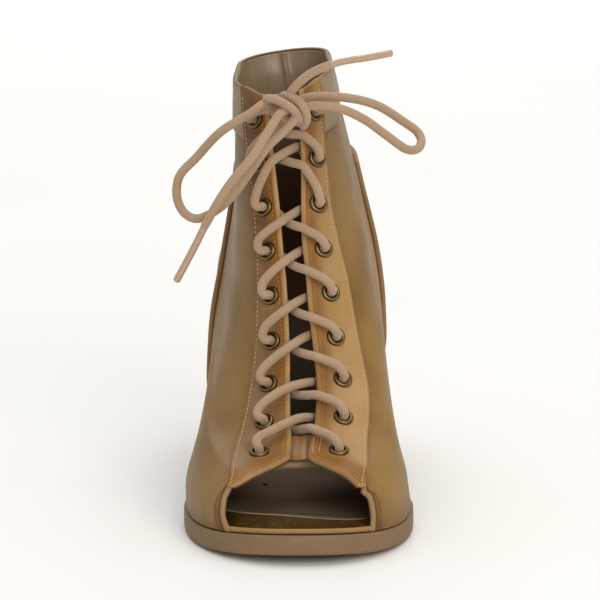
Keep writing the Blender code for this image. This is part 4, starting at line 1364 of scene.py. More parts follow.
@dataclass
class Eyestay:
    """The facing along one side of the throat: folded at the throat, stitched down on the side leather."""

    side: Side
    foot: float = 0.137
    step: float = 0.8
    overlap: float = 1.2
    hole: float = 2.75
    punch_sides: int = 28
    punch_reach: tuple[float, float] = (5.0, -6.0)
    fold_radius: float = 1.4
    cut_radius: float = 0.4
    columns: int = 27
    narrow: float = 4.5
    stitch_inset: float = 3.0
    seam_inset: float = 1.5
    stitch_lift: float = 1.4
    # Millimetres to a whole level at the foot, along the eyelets and at the collar.
    foot_scale: float = 150.0
    eyelet_scale: float = 205.0
    collar_scale: float = 210.0

    def edges(self, level: float) -> tuple[float, float]:
        """Arcs of the folded throat edge and of the outer edge."""
        return LAST.throat(level, self.side), LAST.seam(level, self.side) + self.overlap

    def build(self) -> None:
        """Build, pierce, settle and sew the facing."""
        close = 1 - np.array([0, 0.0002, 0.001, 0.0025, 0.0045, 0.007])
        levels = np.concatenate([self.foot + np.array([0, 0.0003, 0.001, 0.002]),
                                 np.arange(0.1415, 0.30, 0.0028), np.arange(0.3025, 0.99, 0.0046),
                                 close[::-1]])
        ends = np.array([self.edges(v) for v in levels])
        lean_in = LAST.lean(levels, self.side.value * ends[:, 0])
        lean_out = LAST.lean(levels, self.side.value * ends[:, 1])
        fold, cut = rim_steps(self.fold_radius), rim_steps(self.cut_radius)
        arcs = []
        for (first, last), near, far in zip(ends, lean_in, lean_out):
            width = last - first
            scale = min(1.0, width / self.narrow)
            start, stop = fold / max(near, 0.5) * scale, width - cut[::-1] / max(far, 0.5) * scale
            middle = np.linspace(start[-1], stop[0], self.columns)[1:-1]
            arcs.append(first + np.concatenate([start, middle, stop]))
        arcs = np.array(arcs)
        inside = (arcs - ends[:, :1]) * lean_in[:, None]
        outside = (ends[:, 1:] - arcs) * lean_out[:, None]
        high, inner = levels[:, None], self.side is Side.INNER
        foot = (high - self.foot) * self.foot_scale
        top = self.step + 0.35 * np.exp(-inside / 4.0)
        top = top - 0.16 * hump(inside, self.stitch_inset, 0.5) - 0.12 * hump(outside, self.seam_inset, 0.45)
        for level, places in LAST.eyelet_places():
            away = np.hypot((high - level) * self.eyelet_scale, arcs - abs(places[self.side]))
            top = top - 0.22 * hump(away, 5.2, 1.6) + 0.12 * hump(away, 0, 4.0)
        bottom = -LAST.wall + (LAST.wall + 0.03) * ease(2.6, 1.9, outside)
        rim = (rounded(inside, self.fold_radius) * rounded(outside, self.cut_radius)
               * rounded((1 - high) * self.collar_scale, 1.2) * rounded(foot, 0.5))
        reach = (9 if inner else 7) + 6 * ease(0.38, 0.27, high)
        pale = 0.25 + 0.6 * ease(0.42, 0.6, high) if inner else 0.4 + 0.45 * ease(0.30, 0.38, high)
        marks = {
            Mark.BURNISH: np.clip(0.9 * (1 - ease(0.4 * reach, reach, inside)) + 0.35 * hump(foot, 0, 16)
                                  + 0.6 * hump(outside, 0, 0.5), 0, 0.95),
            Mark.EDGE: pale * (1 - ease(1.0, 1.8, inside)) * (1 - 0.7 * hump(inside, 0.75, 0.25)),
            # The outer facing takes far more of the dark tone, as painted shade; both darken a little towards
            # the collar.
            Mark.TONE_AND_SHADE: (0.05 if inner else 0.7) + 0.3 * ease(0.55, 0.9, high),
        }
        panel = Panel(levels, self.side.value * arcs, top, bottom, rim, marks)
        name = f"eyestay_{self.side.name.lower()}"
        stay = panel.build(name, STAY_LEATHER.make(), LINING.make())
        carve(stay, self.punches())
        stay.data.shade_smooth()
        settle(stay, Slot.UPPER, "upper")
        self.sew(stay, levels, ends, lean_in, lean_out)

    def punches(self) -> bpy.types.Object:
        """The nine punches that pierce the facing.

        Returns:
            The punches as one piece.
        """
        points, faces = [], []
        for level, places in LAST.eyelet_places():
            arc = np.array([places[self.side]])
            middle, axis = LAST.skin(level, arc)[0], Vector(LAST.normal_at(level, arc)[0])
            turn = np.array(axis.to_track_quat("Z", "Y").to_matrix())
            base, n = len(points), self.punch_sides
            angles = np.arange(n) * 2 * math.pi / n
            for lift in self.punch_reach:
                points += [middle + turn @ (self.hole * math.cos(a), self.hole * math.sin(a), lift)
                           for a in angles]
            faces.append(tuple(range(base, base + n)))
            faces.append(tuple(range(base + 2 * n - 1, base + n - 1, -1)))
            faces += [(base + i, base + n + i, base + n + (i + 1) % n, base + (i + 1) % n) for i in range(n)]
        return new_piece(f"punches_{self.side.name.lower()}", np.array(points), faces, [LINING.make()])

    def sew(self, stay: bpy.types.Object, levels: np.ndarray, ends: np.ndarray, near: np.ndarray,
            far: np.ndarray) -> None:
        """Sew the throat row, the outer seam and the bartack at the throat's foot.

        Args:
            stay: The facing.
            levels: Levels of its rows.
            ends: Arcs of its two edges at each of them.
            near: Lean of its throat edge.
            far: Lean of its outer edge.
        """
        way, name = self.side.value, self.side.name.lower()
        keep = (levels > 0.152) & (levels < 0.985)
        throat = np.array([LAST.skin(v, way * (e[0] + self.stitch_inset / n), self.stitch_lift)[0]
                           for v, e, n in zip(levels[keep], ends[keep], near[keep])])
        keep = (levels > 0.142) & (levels < 0.99)
        seam = np.array([LAST.skin(v, way * (e[1] - self.seam_inset / f), self.stitch_lift)[0]
                         for v, e, f in zip(levels[keep], ends[keep], far[keep])])
        rows, first = np.linspace(0.306, 0.350, 9), self.edges(0.31)[0]
        tack = [np.array([LAST.skin(v, way * (first + off), self.stitch_lift)[0] for v in rows])
                for off in (2.0, 4.6)]
        StitchRow(TAN_THREAD, 1.2, 1.85).sew(f"stitches_throat_{name}", [throat[::4]], stay)
        StitchRow(CREAM_THREAD).sew(f"stitches_eyestay_{name}", [seam[::4]], stay)
        if self.side is Side.INNER:
            StitchRow(CREAM_THREAD, 1.2, 1.5).sew("stitches_bartack", tack, stay)
            corner = LAST.seam(0.15, self.side)
            frays = (((0.150, -2.6), (0.144, -3.4)), ((0.148, -1.2), (0.140, -1.6)),
                     ((0.146, -0.4), (0.138, 0.6)))
            lines = [np.array([LAST.skin(v, corner + a, 0.9)[0] for v, a in pair]) for pair in frays]
            StitchRow(CREAM_THREAD, 1.1, 1.2, 0.16).sew("frayed_thread", lines, stay)


@dataclass
class Overlays:
    """The heel counter with its folded front edge and the band round the collar."""

    counter_high: float = 1.6
    counter_edge: float = 0.55
    counter_foot: float = 0.006
    counter_top: float = 0.65
    counter_columns: int = 36
    counter_stitch: float = 4.4
    band_high: float = 1.1
    band_low: float = 0.915
    band_top: float = 1.0
    band_columns: int = 54
    band_back: float = 1.3
    under: float = 0.06
    # Millimetres to a whole level at the sole, at the counter's top and along the band.
    low_scale: float = 140.0
    top_scale: float = 190.0
    band_scale: float = 200.0

    def build(self) -> None:
        """Build both overlays."""
        self.counter()
        self.band()

    def counter(self) -> None:
        """Build, settle and sew the heel counter."""
        close = self.counter_top - np.array([0, 0.0002, 0.0008, 0.0018, 0.0032, 0.006])
        levels = np.concatenate([[self.counter_foot, 0.0065, 0.008, 0.011], np.arange(0.016, 0.64, 0.008),
                                 close[::-1]])
        edges = {s: np.array([LAST.counter_front(v, s) for v in levels]) for s in Side}
        leans = {s: LAST.lean(levels, s.value * edges[s]) for s in Side}
        first = np.concatenate([rim_steps(0.75), [1.2, 1.9, 2.5, 3.0, 3.4, 4.0, 5.0]])
        arcs, off = round_back(levels, edges, leans, first, self.counter_columns)
        high = levels[:, None]
        drop = (self.counter_top - high) * self.top_scale
        near = np.minimum(off, drop)
        top = self.counter_high + self.counter_edge * (1 - ease(2.2, 3.2, near))
        top = top - 0.15 * hump(near, self.counter_stitch, 0.5)
        rim = (rounded(off, 0.75) * rounded(drop, 0.7)
               * rounded((high - self.counter_foot) * self.low_scale, 0.4))
        marks = {
            # A dark line at the foot of the folded edge's step is painted shadow; the rest darkens towards the
            # edge and towards the sole.
            Mark.BURNISH: np.clip(0.3 * np.exp(-np.clip(near - 3, 0, None) / 6) + 0.5 * hump(near, 3.2, 0.5)
                                  + 0.4 * hump(high * self.low_scale, 0, 9), 0, 1),
            Mark.EDGE: np.where(arcs > 0, 0.7, 0.9) * (1 - ease(0.6, 1.2, near)),
            Mark.TONE_AND_SHADE: np.array(0.25),
        }
        panel = Panel(levels, arcs, top, np.array(self.under), rim, marks)
        cover = panel.build("heel_counter_leather", COUNTER_LEATHER.make(), COUNTER_LEATHER.make())
        settle(cover, Slot.COUNTER, "heel_counter")
        # One row of stitches goes up the inner edge, across the top and down the outer edge.
        keep, turn, lift = (levels > 0.045) & (levels < 0.625), 0.626, 2.0
        arc = {s: s.value * (edges[s][keep] + self.counter_stitch / leans[s][keep]) for s in Side}
        rows = {s: [LAST.skin(v, a, lift)[0] for v, a in zip(levels[keep], arc[s])] for s in Side}
        stop = LAST.half_length(turn, Side.OUTER) - LAST.counter_front(turn, Side.OUTER) - 6
        across = np.linspace(arc[Side.INNER][-1] + 5, LAST.half_length(turn, Side.INNER) + stop, 16)
        line = (rows[Side.INNER][::3] + [LAST.skin(turn, a, lift)[0] for a in across]
                + rows[Side.OUTER][::-3])
        StitchRow(TAN_THREAD).sew("stitches_counter", [np.array(line)], cover)

    def band(self) -> None:
        """Build, settle and sew the collar band."""
        low, end = self.band_low, self.band_top
        rim = np.array([0, 0.0002, 0.0008, 0.0018, 0.0032])
        levels = np.concatenate([low + rim, np.arange(low + 0.006, end - 0.012, 0.0055),
                                 [0.9895, 0.991, 0.992, 0.993, 0.9945], end - rim[::-1]])
        edges = {s: np.array([LAST.seam(v, s) + self.band_back for v in levels]) for s in Side}
        leans = {s: np.ones(len(levels)) for s in Side}
        first = np.concatenate([rim_steps(0.7), [1.2, 1.8, 2.4, 3.2]])
        arcs, off = round_back(levels, edges, leans, first, self.band_columns)
        high = levels[:, None]
        rise, drop = (high - low) * self.band_scale, (end - high) * self.band_scale
        top = self.band_high - 0.15 * hump(rise, 1.6, 0.45) - 0.15 * hump(drop, 2.0, 0.45)
        top = top + 0.1 * hump(rise, 8, 4) - 0.4 * hump(drop, 0, 1.6)
        # Its upper edge is turned in over the rim of the side leather.
        bottom = self.under - 1.2 * ease(0.9905, 0.9945, high)
        shape = rounded(off, 0.7) * rounded(rise, 0.6) * rounded(drop, 0.9)
        marks = {
            Mark.BURNISH: 0.6 * hump(rise, 0, 0.7) + 0.9 * hump(drop, 0, 0.9),
            Mark.EDGE: 0.8 * hump(off, 0, 1.2),
            Mark.TONE_AND_SHADE: np.where(arcs < 0, 0.55, 0.45),
        }
        panel = Panel(levels, arcs, top, bottom, shape, marks)
        cover = panel.build("collar_band_leather", BAND_LEATHER.make(), BAND_LEATHER.make())
        settle(cover, Slot.UPPER, "collar_band")
        lines, lift = [], 1.9
        for level in (low + 0.008, end - 0.010):
            start, stop = LAST.seam(level, Side.INNER) + 3.0, LAST.seam(level, Side.OUTER) + 3.0
            total = LAST.half_length(level, Side.INNER) + LAST.half_length(level, Side.OUTER)
            lines.append(LAST.skin(level, np.linspace(start, total - stop, 60), lift))
        rows = np.linspace(low + 0.012, end - 0.014, 8)
        for side in Side:
            ends = [LAST.skin(v, side.value * (LAST.seam(v, side) + 2.9), lift)[0] for v in rows]
            lines.append(np.array(ends))
        StitchRow(TAN_THREAD).sew("stitches_collar", lines, cover)


@dataclass
class SoleUnit:
    """The moulded sole and the block heel."""

    edge: float = 0.8
    probe: float = 0.8
    steps: int = 130
    profile: Triples = (
        (-2.4, 0, 0.0), (-0.5, 0, 0.0), (-0.16, 0, 0.08), (0.0, 0, 0.4), (0.05, 0, 1.2), (0.1, 0.3, 0.0),
        (0.1, 0.5, 0.0), (0.05, 0.75, 0.0), (0.0, 1, -1.1), (-0.12, 1, -0.6), (-0.45, 1, -0.2),
        (-1.0, 1, 0.0), (-3.0, 1, 0.0),
    )
    breast: float = 170.0
    breast_bow: float = 2.0
    heel_inset: float = 0.8
    heel_half: float = 26.0
    heel_tip: float = 0.9
    taper: float = 0.15
    taper_power: float = 0.8
    centre: float = 200.0
    heel_profile: tuple[tuple[float, float], ...] = (
        (0, 0), (0.01, 0), (0.1, 0), (0.25, 0), (0.45, 0), (0.65, 0), (0.8, 0), (0.878, 0), (0.884, -0.35),
        (0.896, -0.35), (0.902, 0), (0.95, 0), (0.988, 0), (0.996, -0.25), (1, -0.9),
    )

    def plan(self, arcs: np.ndarray, grow: float) -> np.ndarray:
        """Points of the sole's outline in plan, moved outwards by grow.

        Args:
            arcs: Arcs along the sole's edge.
            grow: Distance outwards.

        Returns:
            One point for each arc.
        """
        along = LAST.on_level(0.0, arcs + self.probe) - LAST.on_level(0.0, arcs - self.probe)
        along[:, 2] = 0
        along = unit(along)
        out = np.stack([along[:, 1], -along[:, 0], np.zeros(len(along))], axis=-1)
        return LAST.on_level(0.0, arcs) + out * grow

    def outline(self, steps: int) -> np.ndarray:
        """Arcs round the sole's whole outline, in pairs on its two sides.

        Args:
            steps: Steps from the front to the back.

        Returns:
            The arcs, once round.
        """
        u = np.linspace(0, 1, steps + 1)
        u = 0.45 * u + 0.55 * (1 - np.cos(math.pi * u)) / 2
        inner, outer = (LAST.half_length(0.0, side) for side in Side)
        return np.concatenate([inner * u, -outer * u[-2:0:-1]])

    def ring(self, arcs: np.ndarray, grow: float, height: float, drop: float) -> np.ndarray:
        """A loop round the sole, at a share of its thickness (0 at the top) and then lower by drop.

        Args:
            arcs: Arcs along the sole's edge.
            grow: Distance outwards.
            height: Share of the thickness.
            drop: Distance down from there.

        Returns:
            One point for each arc.
        """
        line = self.plan(arcs, grow)
        top, bottom = LAST.sole_top(line[:, 1]), LAST.sole_bottom(line[:, 1])
        line[:, 2] = top + (bottom - top) * height - drop
        return line

    def build(self) -> None:
        """Build and settle the sole and the heel."""
        arcs = self.outline(self.steps)
        loops = [self.ring(arcs, self.edge + grow, height, drop) for grow, height, drop in self.profile]
        points, faces = stack(loops)
        settle(new_piece("moulded_sole", points, faces, [SOLE_RUBBER.make()]), Slot.SOLE, "outsole")
        self.heel()

    def heel(self) -> None:
        """Build and settle the block heel with its dark tip."""
        sides = []
        for side in Side:
            length = LAST.half_length(0.0, side)
            run = np.linspace(0, length, 600)
            start = float(np.interp(self.breast, LAST.on_level(0.0, side.value * run)[:, 1], run))
            sides.append(side.value * np.linspace(start, length, 40))
        back = np.concatenate([self.plan(line, -self.heel_inset) for line in (sides[0], sides[1][-2::-1])])
        across = np.linspace(0, 1, 25)[1:-1]
        breast = back[0] + (back[-1] - back[0]) * across[:, None]
        breast[:, 1] += self.breast_bow * (1 - (2 * across - 1) ** 2)
        middle = len(across) // 2
        outline = np.concatenate([breast[middle::-1], back, breast[:middle:-1]])
        top = outline.copy()
        top[:, 2] = LAST.sole_bottom(top[:, 1]) - LAST.gap
        loops = []
        for drop, grow in self.heel_profile:
            loop = top.copy()
            shrink = 1 - self.taper * drop ** self.taper_power
            pull = 1 + grow / self.heel_half
            loop[:, 0] *= shrink * pull
            loop[:, 1] = self.centre + (loop[:, 1] - self.centre) * shrink * pull
            loop[:, 2] = top[:, 2] * (1 - drop)
            loops.append(loop)
        points, faces = stack(loops)
        low = [np.mean([points[i][2] / top[i % len(top)][2] for i in face]) < 1 - self.heel_tip
               for face in faces]
        heel = new_piece("block_heel", points, faces, [HEEL_WRAP.make(), HEEL_TIP.make()], np.array(low, int))
        settle(heel, Slot.HEEL, "heel")


@dataclass
class FootBed:
    """The foot bed seen through the peep toe: dark sock, its pale cut edge and the golden toe wrap."""

    sole: SoleUnit
    clear: float = 2.0
    wrap_depth: float = 14.0
    wrap_span: float = 28.4
    roll: float = 1.1
    droop: float = 2.9
    steps: int = 110
    profile: Triples = ((0.3, 0, 0.0), (0.0, 0, 0.4), (0.0, 1, -0.7), (0.25, 1, -0.2), (0.8, 1, 0.0))
    edge_radius: float = 0.36
    edge_sides: int = 8
    bed: tuple[BedRow, ...] = (BedRow(0, 6.2), BedRow(60, 6.2), BedRow(110, 3.4), BedRow(230, 3.0))

    def wrap_arc(self, side: Side) -> float:
        """Arc at which the toe wrap ends on one side."""
        return LAST.arc_at_width(0.0, self.wrap_span, side)

    def ring(self, arcs: np.ndarray, inset: float, share: float, lift: float) -> np.ndarray:
        """A line round the foot bed: straight behind the toe wrap, inside the upper along the sides.

        Args:
            arcs: Arcs along the sole's outline.
            inset: Distance inside the foot bed's edge.
            share: Share of the bed's thickness at which the line lies.
            lift: Height over that.

        Returns:
            Its points.
        """
        ends = np.where(arcs >= 0, self.wrap_arc(Side.INNER), self.wrap_arc(Side.OUTER)) + 1.0
        back = ease(0, 14, np.abs(arcs) - ends)[:, None]
        front = LAST.on_level(0.0, arcs) + (0, self.wrap_depth + LAST.gap + inset, 0)
        line = front * (1 - back) + self.sole.plan(arcs, -(LAST.wall + self.clear + inset)) * back
        return self.raised(line, share, lift)

    def raised(self, line: np.ndarray, share: float, lift: float) -> np.ndarray:
        """Points of a line at a share of the bed's thickness, and then higher by lift.

        Args:
            line: Points whose heights are set.
            share: Share of the thickness.
            lift: Height over that.

        Returns:
            The same points.
        """
        low = self.droop * ease(-14, 30, line[:, 0]) * (1 - ease(26, 64, line[:, 1]))
        thick = LAST.read(self.bed, "thick", line[:, 1]) - low
        line[:, 2] = LAST.sole_top(line[:, 1]) + LAST.gap + share * thick + lift
        return line

    def build(self) -> None:
        """Build and settle the sock, its edge and the toe wrap."""
        arcs = self.sole.outline(self.steps)
        points, faces = stack([self.ring(arcs, *row) for row in self.profile])
        settle(new_piece("foot_bed_sock", points, faces, [SOCK.make()]), Slot.SOCK, "insole")
        run = np.linspace(-self.wrap_arc(Side.OUTER) - 3, self.wrap_arc(Side.INNER) + 3, 90)
        line = self.ring(run, 0.2, 1, 0.05)
        up = np.tile((0, 0, 1.0), (len(line), 1))
        rings = rings_round(line, self.edge_radius, np.cross(unit(np.gradient(line, axis=0)), up), up,
                            self.edge_sides)
        edge = new_piece("sock_cut_edge", rings.reshape(-1, 3), tube_faces(*rings.shape[:2]),
                         [SOCK_EDGE.make()])
        settle(edge, Slot.TRIM)
        self.wrap()

    def wrap(self) -> None:
        """Build and settle the toe wrap: a rolled front edge, a hollow, and a rise to the sock."""
        arcs = np.linspace(-self.wrap_arc(Side.OUTER), self.wrap_arc(Side.INNER), 84)
        turn = np.linspace(-0.5 * math.pi, 0.8 * math.pi, 13)
        corners = [(0.5 + self.roll * (1 - math.cos(a)), 0.0, self.roll * (1 + math.sin(a))) for a in turn]
        corners += [(4.6, 0, 1.9), (6.4, 0, 1.8), (8.4, 0, 2.3), (10.6, 0.45, 0.6), (12.6, 0.85, 0.1),
                    (self.wrap_depth - 0.3, 1, 0.0), (self.wrap_depth, 1, -0.4), (self.wrap_depth, 0, 0.0)]
        front = LAST.on_level(0.0, arcs)
        grid = [self.raised(front + (0, inset, 0), share, lift) for inset, share, lift in corners]
        rings = np.stack(grid, axis=1)
        inset = np.tile([corner[0] for corner in corners], len(arcs))
        # Behind the rolled edge the strip is painted nearly black: painted shade inside the toe.
        marks = {Mark.EDGE: 0.8 * (1 - ease(1.6, 2.6, inset)), Mark.BURNISH: 0.97 * ease(2.2, 3.6, inset),
                 Mark.TONE_AND_SHADE: np.zeros(len(inset))}
        strip = new_piece("toe_wrap_leather", rings.reshape(-1, 3), tube_faces(*rings.shape[:2]),
                          [TRIM_LEATHER.make()], None, marks)
        settle(strip, Slot.TRIM, "toe_wrap")


@dataclass
class ThroatTab:
    """The small tab that bridges the two facings from below at the throat's foot."""

    half_width: float = 9.0
    thick: float = 1.2
    rounding: float = 0.6
    low: float = 0.313
    end: float = 0.366
    # Millimetres to a whole level at the throat's foot.
    scale: float = 230.0

    def build(self) -> None:
        """Build and settle the tab."""
        rim = np.array([0, 0.0003, 0.001, 0.002, 0.0035])
        levels = np.concatenate([self.low + rim, np.arange(self.low + 0.006, self.end - 0.005, 0.003),
                                 self.end - rim[::-1]])
        edge = rim_steps(self.rounding)
        arcs = np.concatenate([-self.half_width + edge, np.linspace(-8, 8, 33), self.half_width - edge[::-1]])
        arcs = np.broadcast_to(arcs, (len(levels), len(arcs)))
        high = levels[:, None]
        rise, drop = (high - self.low) * self.scale, (self.end - high) * self.scale
        shape = (rounded(self.half_width - np.abs(arcs), self.rounding) * rounded(rise, self.rounding)
                 * rounded(drop, self.rounding))
        # It lies against the lining, with two soft folds up its face.
        face = -(LAST.wall + LAST.gap + 0.1)
        top = face - 0.35 * hump(arcs, -1.6, 1.0) - 0.25 * hump(arcs, 2.6, 1.2)
        marks = {
            Mark.BURNISH: 0.5 * hump(rise, 0, 2.5) + 0.3 * hump(np.abs(arcs), 5.0, 1.6),
            # A paler stripe along the ridge between the folds is a painted highlight.
            Mark.EDGE: 0.6 * hump(arcs, 0.6, 1.1),
            Mark.TONE_AND_SHADE: np.array(0.1),
        }
        panel = Panel(levels, arcs, top, np.array(face - self.thick), shape, marks)
        tab = panel.build("throat_tab_leather", TAB_LEATHER.make(), LINING.make())
        settle(tab, Slot.TRIM, "throat_tab")


@dataclass
class Eyelets:
    """Stamped brass eyelets: a rolled flange, a barrel through the facing and a rolled back."""

    seat: float = 0.55
    steps: int = 36
    profile: Triples = (
        (2.25, 0.10, 1.0), (2.27, 0.75, 0.8), (2.40, 1.08, 0.4), (2.70, 1.32, 0.1), (3.10, 1.42, 0.0),
        (3.50, 1.32, 0.05), (3.80, 1.02, 0.25), (3.98, 0.55, 0.6), (4.00, 0.10, 0.9), (3.80, -0.10, 1.0),
        (2.70, -0.10, 1.0), (2.66, -2.6, 1.0), (3.05, -2.95, 0.5), (3.0, -3.25, 0.4), (2.5, -3.3, 0.6),
        (2.25, -3.0, 0.9),
    )
    patina: float = 0.75

    def build(self) -> None:
        """Build and settle the eyelets, row by row."""
        for row, (level, places) in enumerate(LAST.eyelet_places(), 1):
            for side in Side:
                self.eyelet(row, level, places[side], side)

    def eyelet(self, row: int, level: float, arc: float, side: Side) -> None:
        """Turn one eyelet square to the upper and settle it.

        Args:
            row: Number of its row.
            level: The level.
            arc: Its arc.
            side: The side.
        """
        at = np.array([arc])
        middle = LAST.skin(level, at, self.seat)[0]
        turn = np.array(Vector(LAST.normal_at(level, at)[0]).to_track_quat("Z", "Y").to_matrix())
        n, count, faces = self.steps, len(self.profile), []
        angles = np.arange(n) * 2 * math.pi / n
        loops = [np.stack([r * np.cos(angles), r * np.sin(angles), np.full(n, z)], axis=-1) @ turn.T + middle
                 for r, z, _ in self.profile]
        for k in range(count):
            a, b = k * n, (k + 1) % count * n
            faces += [(a + i, a + (i + 1) % n, b + (i + 1) % n, b + i) for i in range(n)]
        dark = np.repeat([hollow for _, _, hollow in self.profile], n) * self.patina
        node = f"eyelet_{side.name.lower()}_{row}"
        piece = new_piece(f"brass_{node}", np.concatenate(loops), faces, [BRASS.make()], None,
                          {Mark.BURNISH: dark})
        settle(piece, Slot.BRASS, node)


@dataclass
class Lace:
    """The braided lace: crossed up the throat through every eyelet, and tied in a bow."""

    radius: float = 1.8
    sides: int = 30
    step: float = 0.40
    relief: float = 0.055
    tip_length: float = 25.0
    knot: Triple = (-3.0, 113.0, 161.3)
    edge: float = 0.35
    over: tuple[Strand, ...] = (
        Strand(-0.03, -1.07, 3.6), Strand(0.03, -1.15, 4.5), Strand(0.22, -1.05, 5.1),
        Strand(0.45, -0.70, 4.9), Strand(0.65, -0.35, 3.8), Strand(0.80, -0.12, 1.3),
        Strand(0.93, 0.12, -1.8), Strand(1.03, 0.35, -4.8), Strand(1.05, 0.55, -5.7),
        Strand(1.00, 0.92, -5.6),
    )
    under: tuple[Strand, ...] = (
        Strand(0.05, -0.95, 3.8), Strand(0.14, -0.88, 4.6), Strand(0.26, -0.76, 4.8),
        Strand(0.40, -0.55, 4.5), Strand(0.52, -0.35, 3.7), Strand(0.62, -0.12, 1.0),
        Strand(0.74, 0.12, -2.2), Strand(0.86, 0.35, -4.9), Strand(0.94, 0.55, -5.8),
        Strand(1.00, 0.92, -5.6),
    )
    arch_over: tuple[float, ...] = (0.34, 0.24, 0.22, 0.06, 0.10, 0.0, 0.42, 0.05)
    arch_under: tuple[float, ...] = (0.26, 0.12, 0.12, 0.0, 0.05, 0.0, 0.40, 0.04)
    hooks: tuple[float, ...] = (0.3, 0.8, 1.0, 1.0, 1.0, 1.0, 1.0, 1.0)
    bar_rise: float = 0.024
    bar_depth: float = 7.0
    tip_radius: float = 1.5
    tip_sides: int = 20
    # Any vector that no strand runs along, from which the rings start to turn.
    aside: Triple = (0.3, 0.2, 1.0)
    core: Triples = ((-10, 114, 160.5), (-5.2, 112.8, 158.8), (-0.5, 112.8, 157))
    loop_outer: Triples = (
        (-3.5, 115, 164), (-9, 114, 166), (-20, 109, 160), (-31, 110, 153), (-41, 113, 142), (-48, 114, 134),
        (-49, 113, 126), (-46, 109, 120), (-41, 106, 118), (-34, 104, 121), (-27, 103, 127), (-19, 102, 138),
        (-12, 102, 148),
        (-6, 104.5, 153.5), (-1.6, 106, 158), (0, 109, 161.5),
    )
    loop_inner: Triples = (
        (-2, 114, 163), (4, 113, 166.5), (17, 112, 167), (32, 118, 163), (44, 124, 155), (49.4, 124.2, 151),
        (51, 120.2, 148), (49.4, 114.6, 145.4), (45, 110.4, 145.6),
        (36, 108.5, 152), (27, 108, 158.5), (17, 107, 163), (6, 107, 164), (0, 110.5, 161),
    )
    end_outer: Triples = (
        (-3, 110, 162), (-6.5, 105, 161.5), (-11.5, 99.5, 155), (-18, 96, 145), (-27, 96, 134),
        (-35, 97, 121), (-42, 98, 107), (-49, 97, 94),
    )
    end_inner: Triples = (
        (-5, 113, 162), (-3, 109.5, 168.5), (5, 106, 177), (17, 105, 182), (28, 104, 184), (38, 103, 186),
    )
    wrap: Triples = (
        (-7, 116, 160), (-11, 115, 162.5), (-12, 111, 166.3), (-8.6, 107, 166.6), (-4.4, 105, 164.8),
        (-1.1, 105.5, 162.3), (0.8, 108, 159), (0.3, 112, 156.5),
    )
    cap: Triples = (
        (-6.5, 115, 165), (-5.5, 112, 167.4), (-3, 108.5, 167.6), (0.8, 106.2, 166), (3.2, 106.0, 162.6),
        (3.9, 108.5, 158.3), (2.4, 112.5, 155),
    )

    def tube(self, name: str, line: np.ndarray, tip: float = 0.0) -> bpy.types.Object:
        """A round braided cord along a line, with plaits that stand out of it.

        Args:
            name: Name of the piece.
            line: The cord's line.
            tip: Length at its far end that a film squeezes thinner.

        Returns:
            The cord.
        """
        way, along = unit(np.gradient(line, axis=0)), lengths_along(line)
        turns = np.arange(self.sides) * 2 * math.pi / self.sides
        across, rings = np.cross(way[0], self.aside), []
        for at, t, s in zip(line, way, along):
            across = unit(across - t * np.dot(across, t))
            phase = 2 * math.pi * s / COTTON.pitch_mm
            plait = np.maximum(np.sin(COTTON.plaits * turns + phase), np.sin(COTTON.plaits * turns - phase))
            squeeze = float(ease(along[-1] - tip - 1.5, along[-1] - tip + 1.5, s)) if tip else 0.0
            thinner = squeeze * (self.radius - self.tip_radius + 0.1)
            reach = self.radius + self.relief * (plait - 0.45) - thinner
            rings.append(at + reach[:, None] * (np.cos(turns)[:, None] * across
                                                + np.sin(turns)[:, None] * np.cross(t, across)))
        count = self.sides
        u, v = np.meshgrid(np.arange(count) / count, along[:-1])
        u2, v2 = u + 1 / count, np.broadcast_to(along[1:, None], u.shape)
        corners = np.stack([np.stack(p, axis=-1) for p in ((u, v), (u2, v), (u2, v2), (u, v2))], axis=2)
        uv = np.concatenate([corners.reshape(-1, 2), np.zeros((2 * count, 2))])
        return new_piece(name, np.concatenate(rings), tube_faces(len(line), count), [COTTON.make()], uv=uv)

    def eyelet_line(self, row: int, side: Side) -> list[np.ndarray]:
        """Places on a lace as it comes up through one eyelet."""
        level, arcs = LAST.eyelet_places()[row]
        return [LAST.skin(level, arcs[side], lift)[0] for lift in (-3.4, 0.2, 2.8)]

    def strand(self, row: int, side: Side) -> list[np.ndarray]:
        """Places on one strand from its eyelet to under the next row's on the other side.

        Args:
            row: Number of the row it starts from.
            side: Side it starts on.

        Returns:
            The places in order.
        """
        (level, arcs), (next_level, next_arcs) = LAST.eyelet_places()[row:row + 2]
        other = Side(-side.value)
        shape, arch = (self.over, self.arch_over) if side is Side.OUTER else (self.under, self.arch_under)
        points = []
        for step in shape:
            higher = arch[row] * max(0.0, 1 - (step.across / 0.98) ** 2) ** 0.8
            at = min(level + (next_level - level) * (step.climb + higher), 1.0)
            start, stop = side.value * LAST.throat(at, side), other.value * LAST.throat(at, other)
            if step.across < -self.edge:
                past = max(0.0, -1 - step.across) * (1 - self.hooks[row])
                arc = start + (arcs[side] - start) * (-self.edge - step.across - past) / (1 - self.edge)
            else:
                arc = float(np.interp(step.across, (-self.edge, self.edge, 1),
                                      (start, stop, next_arcs[other])))
            points.append(LAST.skin(at, arc, step.lift)[0])
        return points

    def climb(self, side: Side) -> list[np.ndarray]:
        """Places on the half of the lace that starts at the lowest eyelet on one side.

        Args:
            side: Side it starts on.

        Returns:
            The places in order, up to the knot.
        """
        points = self.eyelet_line(0, side)
        for row in range(LAST.eyelet_rows - 1):
            points += self.strand(row, side)
            side = Side(-side.value)
            points += self.eyelet_line(row + 1, side)
        level, arcs = LAST.eyelet_places()[-1]
        points.append(LAST.skin(level, arcs[side], 4.8)[0])
        points.append(LAST.skin(level + 0.012, arcs[side] * 0.6, 6.4)[0])
        points.append(np.array(self.knot))
        return points

